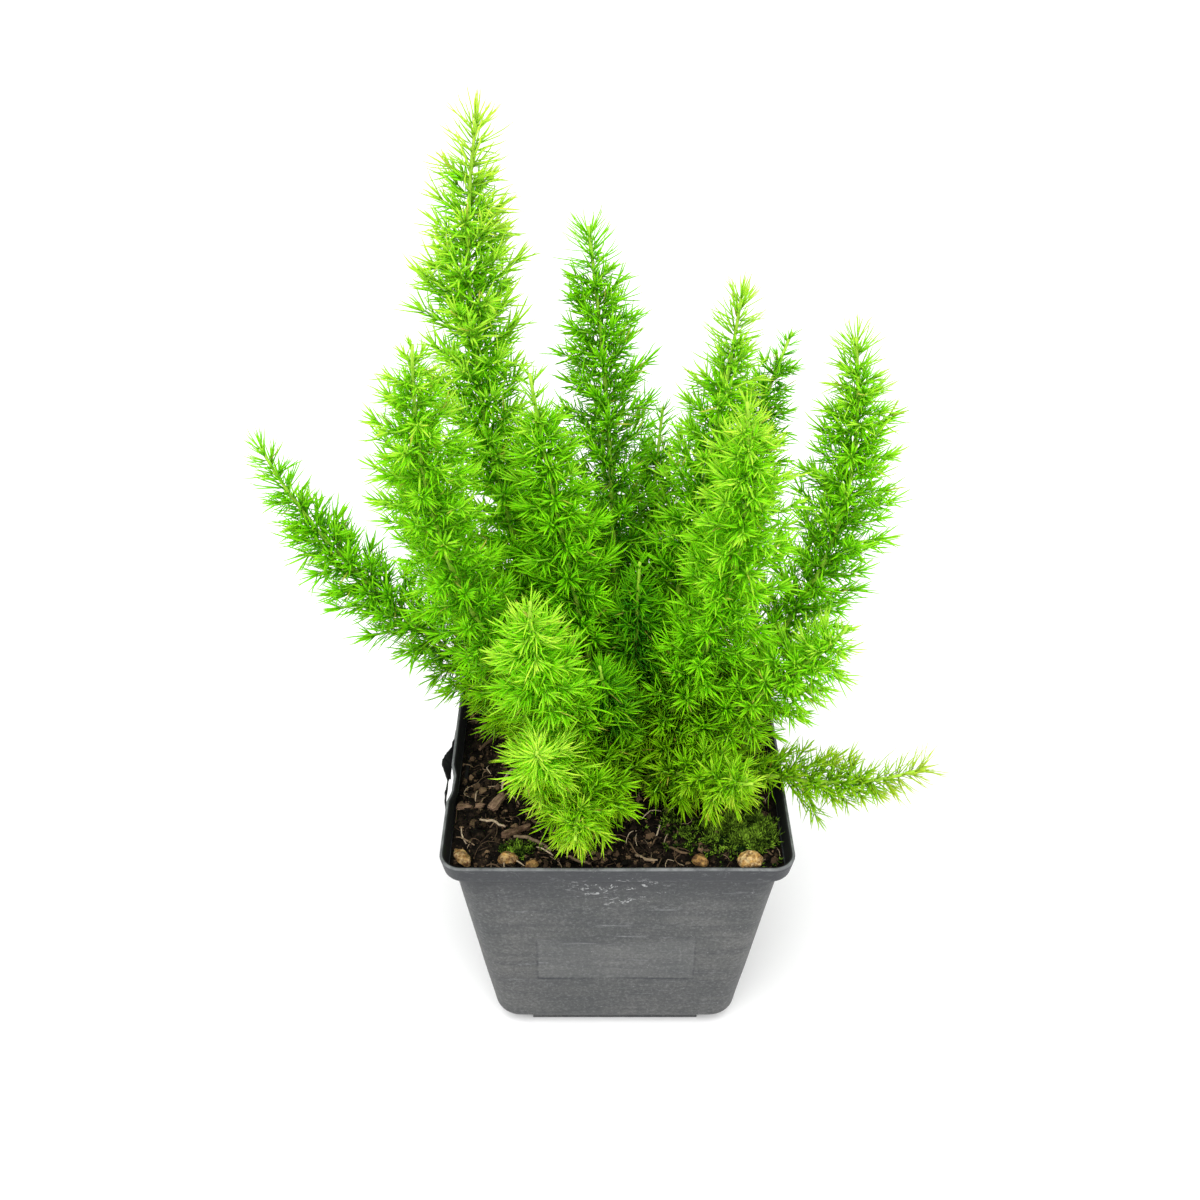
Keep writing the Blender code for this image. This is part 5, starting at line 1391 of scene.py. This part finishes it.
def grow_shoots(piece, draw, base, lean, heights):
    """Moss shoots: leaves stand round a shoot in two tiers of five, each pointed at both ends."""
    side = unit(np.cross(lean, [1.0, 0.2, 0.0]))
    other = np.cross(lean, side)
    for tier, angle in ((0.40, 55), (1.0, 28)):
        turns = np.arange(5) * TURN / 5 + draw.uniform(0, 6.28, (len(base), 1))
        tilt = np.radians(draw.normal(angle, 8, turns.shape))
        ways = leaning(side, other, lean, turns, tilt)
        edges = unit(np.cross(ways, lean[:, None]))
        start = (base + lean * (heights * tier * 0.6)[:, None])[:, None] + 0 * ways
        size = heights[:, None] * draw.uniform(0.50, 0.85, turns.shape)
        ways, edges, start, size = (item.reshape(-1, item.shape[-1]) if item.ndim == 3 else item.ravel()
                                    for item in (ways, edges, start, size))
        half = np.full((len(start), 1), 0.00025)
        middle = (start + 0.4 * size[:, None] * ways)[:, None]
        points, faces = tubes(middle, edges[:, None], np.cross(ways, edges)[:, None], half, half * 0.6, 3)
        points[:, -2:] = np.stack([start, start + size[:, None] * ways], axis=1)
        height = np.clip((points[..., 2] - SOIL_LEVEL) / 0.0042, 0, 1)
        chance = np.broadcast_to(draw.uniform(0, 1, (len(start), 1)), height.shape)
        piece.add(points, faces, together(height, chance, 0.5, 0.0))


class FERN_OT_lay_stones(bpy.types.Operator):
    """Lays the stones and bark chips on the mix"""

    bl_idname = "fern.lay_stones"
    bl_label = "Lay Stones and Bark"

    def execute(self, context):
        settings = context.scene.fern_stone
        stone, bark = stone_material(settings), bark_material(settings)
        for order, name in enumerate(STONES):
            made = stone_piece(name, order).build(name + "_weathered", [stone])
            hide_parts(name)
        for order, name in enumerate(CHIPS):
            made = chip_piece(name, order).build(name + "_torn", [bark])
            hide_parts(name)
        return {"FINISHED"}


def stone_piece(name, order):
    """A stone: an ellipsoid by two angles, its radius changed by one slow wave and by two sizes of drift."""
    centre, halves, turn, clean = STONES[name]
    halves = np.array(halves) / 1000
    polar = np.linspace(0.03, math.pi - 0.03, 30)[::-1, None]
    turns = round_turn(46)
    way = together(np.sin(polar) * np.cos(turns), np.sin(polar) * np.sin(turns), np.cos(polar))
    phase = order * 1.7
    lump = 1 + STONE_LUMP * np.sin(3 * way[..., 0] + phase) * np.cos(2 * way[..., 1] - phase)
    lump = lump + 0.10 * drift(way + order * 5, 0.50, 51) + 0.060 * drift(way + order * 5, 0.26, 52) - 0.07
    shape = way * lump[..., None] * halves
    level = SHELF_TOP + PIECE_GAP + halves[2] * (1 + STONE_LUMP)
    piece = Piece()
    rings = turned(shape, math.radians(turn)) + [centre[0] / 1000, centre[1] / 1000, level]
    piece.add_even(capped(rings), 0.5, clean)
    return piece


def chip_piece(name, order):
    """A bark chip: a flattened four-cornered section carried along the chip, narrowing to one end, with
    ridges along its grain and broken ends."""
    centre, length, width, turn, pale = CHIPS[name]
    length, width, angle = length / 1000, width / 1000, math.radians(turn)
    t = np.linspace(-0.5, 0.5, 28)[:, None]
    turns = round_turn(32)
    boxy = 1 / (np.abs(np.cos(turns)) ** 5 + np.abs(np.sin(turns)) ** 5) ** 0.2
    taper = (0.81 - 0.38 * t) * (1 - 0.6 * np.clip(np.abs(t) - 0.42, 0, 1) / 0.08)
    grain = together(t * 2.0, 3 * np.cos(turns), 3 * np.sin(turns) + order)
    ridges = 0.94 + 0.20 * drift(grain, 0.5, 61)
    across = width / 2 * taper * boxy * np.cos(turns) * ridges
    deep = CHIP_THICKNESS / 2 * boxy * np.sin(turns) * ridges * (0.7 + 0.3 * taper)
    run = length * t + 0 * turns + 0.0004 * drift(together(0 * t, across, deep), 0.0005, 62 + order)
    x = centre[0] / 1000 + run * math.cos(angle) - across * math.sin(angle)
    y = centre[1] / 1000 + run * math.sin(angle) + across * math.cos(angle)
    low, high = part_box(name)
    points, faces = capped(together(x, y, (low.z + high.z) / 2 + deep))
    along = np.concatenate([np.repeat(t + 0.5, len(turns)), [0, 1]])
    spread = np.concatenate([np.tile(0.5 + 0.5 * np.cos(turns), len(t)), [0.5, 0.5]])
    piece = Piece()
    piece.add(points, faces, together(along, 0.13 * order + 0.2, spread, pale))
    return piece


class FERN_OT_set_stage(bpy.types.Operator):
    """Lays a pale floor, and sets soft light and the camera"""

    bl_idname = "fern.set_stage"
    bl_label = "Set Stage"

    def execute(self, context):
        settings = context.scene.fern_stage
        scene = context.scene
        scene.view_settings.view_transform = "Standard"
        kit = Nodes("pale_floor")
        tint = kit.blend(settings.floor_colour, (0.8, 0.8, 0.8), kit.noise(3.0), 0.3, 0.7, 0.0, 0.04)
        material = kit.finish(tint, kit.spread(kit.noise(30.0), 0.3, 0.7, 0.75, 0.85))
        piece = Piece()
        corners = np.array([[-1, -1, 0], [1, -1, 0], [1, 1, 0], [-1, 1, 0]]) * FLOOR_HALF
        piece.add(corners, [np.array([[0, 1, 2, 3]])], together(np.zeros(4), 0, 0, 0))
        piece.build("pale_floor", [material], rides=False)
        world = scene.world or bpy.data.worlds.new("soft_sky")
        scene.world = world
        world.use_nodes = True
        world.node_tree.nodes["Background"].inputs["Color"].default_value = (1, 1, 1, 1)
        world.node_tree.nodes["Background"].inputs["Strength"].default_value = settings.sky_strength
        key = add_light(scene, "key_light", "SUN", (-0.07, -0.42, 1.00), settings.key_strength)
        key.angle = settings.key_spread
        fill = add_light(scene, "front_light", "AREA", (0.35, -0.95, 0.55), settings.fill_power)
        fill.size = 0.8
        lens = bpy.data.cameras.new("photo_camera")
        lens.lens, lens.sensor_width, lens.clip_start = settings.lens, 36.0, 0.01
        camera = bpy.data.objects.new("photo_camera", lens)
        camera.location = settings.camera_place
        camera.rotation_euler = (math.pi / 2 - settings.camera_pitch, 0, 0)
        scene.collection.objects.link(camera)
        scene.camera = camera
        return {"FINISHED"}


def add_light(scene, name, kind, place, strength):
    """A light that faces the plant."""
    lamp = bpy.data.lights.new(name, kind)
    lamp.energy = strength
    made = bpy.data.objects.new(name, lamp)
    made.location = place
    made.rotation_euler = (made.location - Vector((0, 0, 0.12))).to_track_quat("Z", "Y").to_euler()
    scene.collection.objects.link(made)
    return lamp


class FERN_PT_panel(bpy.types.Panel):
    """Sidebar panel with the settings and the operators, in the order of work"""

    bl_label = "Foxtail Fern"
    bl_idname = "FERN_PT_panel"
    bl_space_type = "VIEW_3D"
    bl_region_type = "UI"
    bl_category = "Foxtail Fern"

    def draw(self, context):
        for operator, group in STEPS:
            box = self.layout.box()
            box.operator(operator.bl_idname)
            settings = getattr(context.scene, group)
            for name in settings.bl_rna.properties.keys():
                if name not in ("rna_type", "name"):
                    box.prop(settings, name)


GROUPS = {
    "fern_foliage": FernFoliageSettings,
    "fern_pot": FernPotSettings,
    "fern_soil": FernSoilSettings,
    "fern_moss": FernMossSettings,
    "fern_stone": FernStoneSettings,
    "fern_stage": FernStageSettings,
}
STEPS = [
    (FERN_OT_finish_pot, "fern_pot"),
    (FERN_OT_fill_mix, "fern_soil"),
    (FERN_OT_lay_stones, "fern_stone"),
    (FERN_OT_grow_moss, "fern_moss"),
    (FERN_OT_grow_fronds, "fern_foliage"),
    (FERN_OT_set_stage, "fern_stage"),
]


def register():
    for name, group in GROUPS.items():
        bpy.utils.register_class(group)
        setattr(bpy.types.Scene, name, PointerProperty(type=group))
    for operator, group in STEPS:
        bpy.utils.register_class(operator)
    bpy.utils.register_class(FERN_PT_panel)


def unregister():
    bpy.utils.unregister_class(FERN_PT_panel)
    for operator, group in reversed(STEPS):
        bpy.utils.unregister_class(operator)
    for name, group in reversed(GROUPS.items()):
        delattr(bpy.types.Scene, name)
        bpy.utils.unregister_class(group)


def main():
    register()
    bpy.ops.fern.finish_pot()
    bpy.ops.fern.fill_mix()
    bpy.ops.fern.lay_stones()
    bpy.ops.fern.grow_moss()
    bpy.ops.fern.grow_fronds()
    bpy.ops.fern.set_stage()


if __name__ == "__main__":
    main()
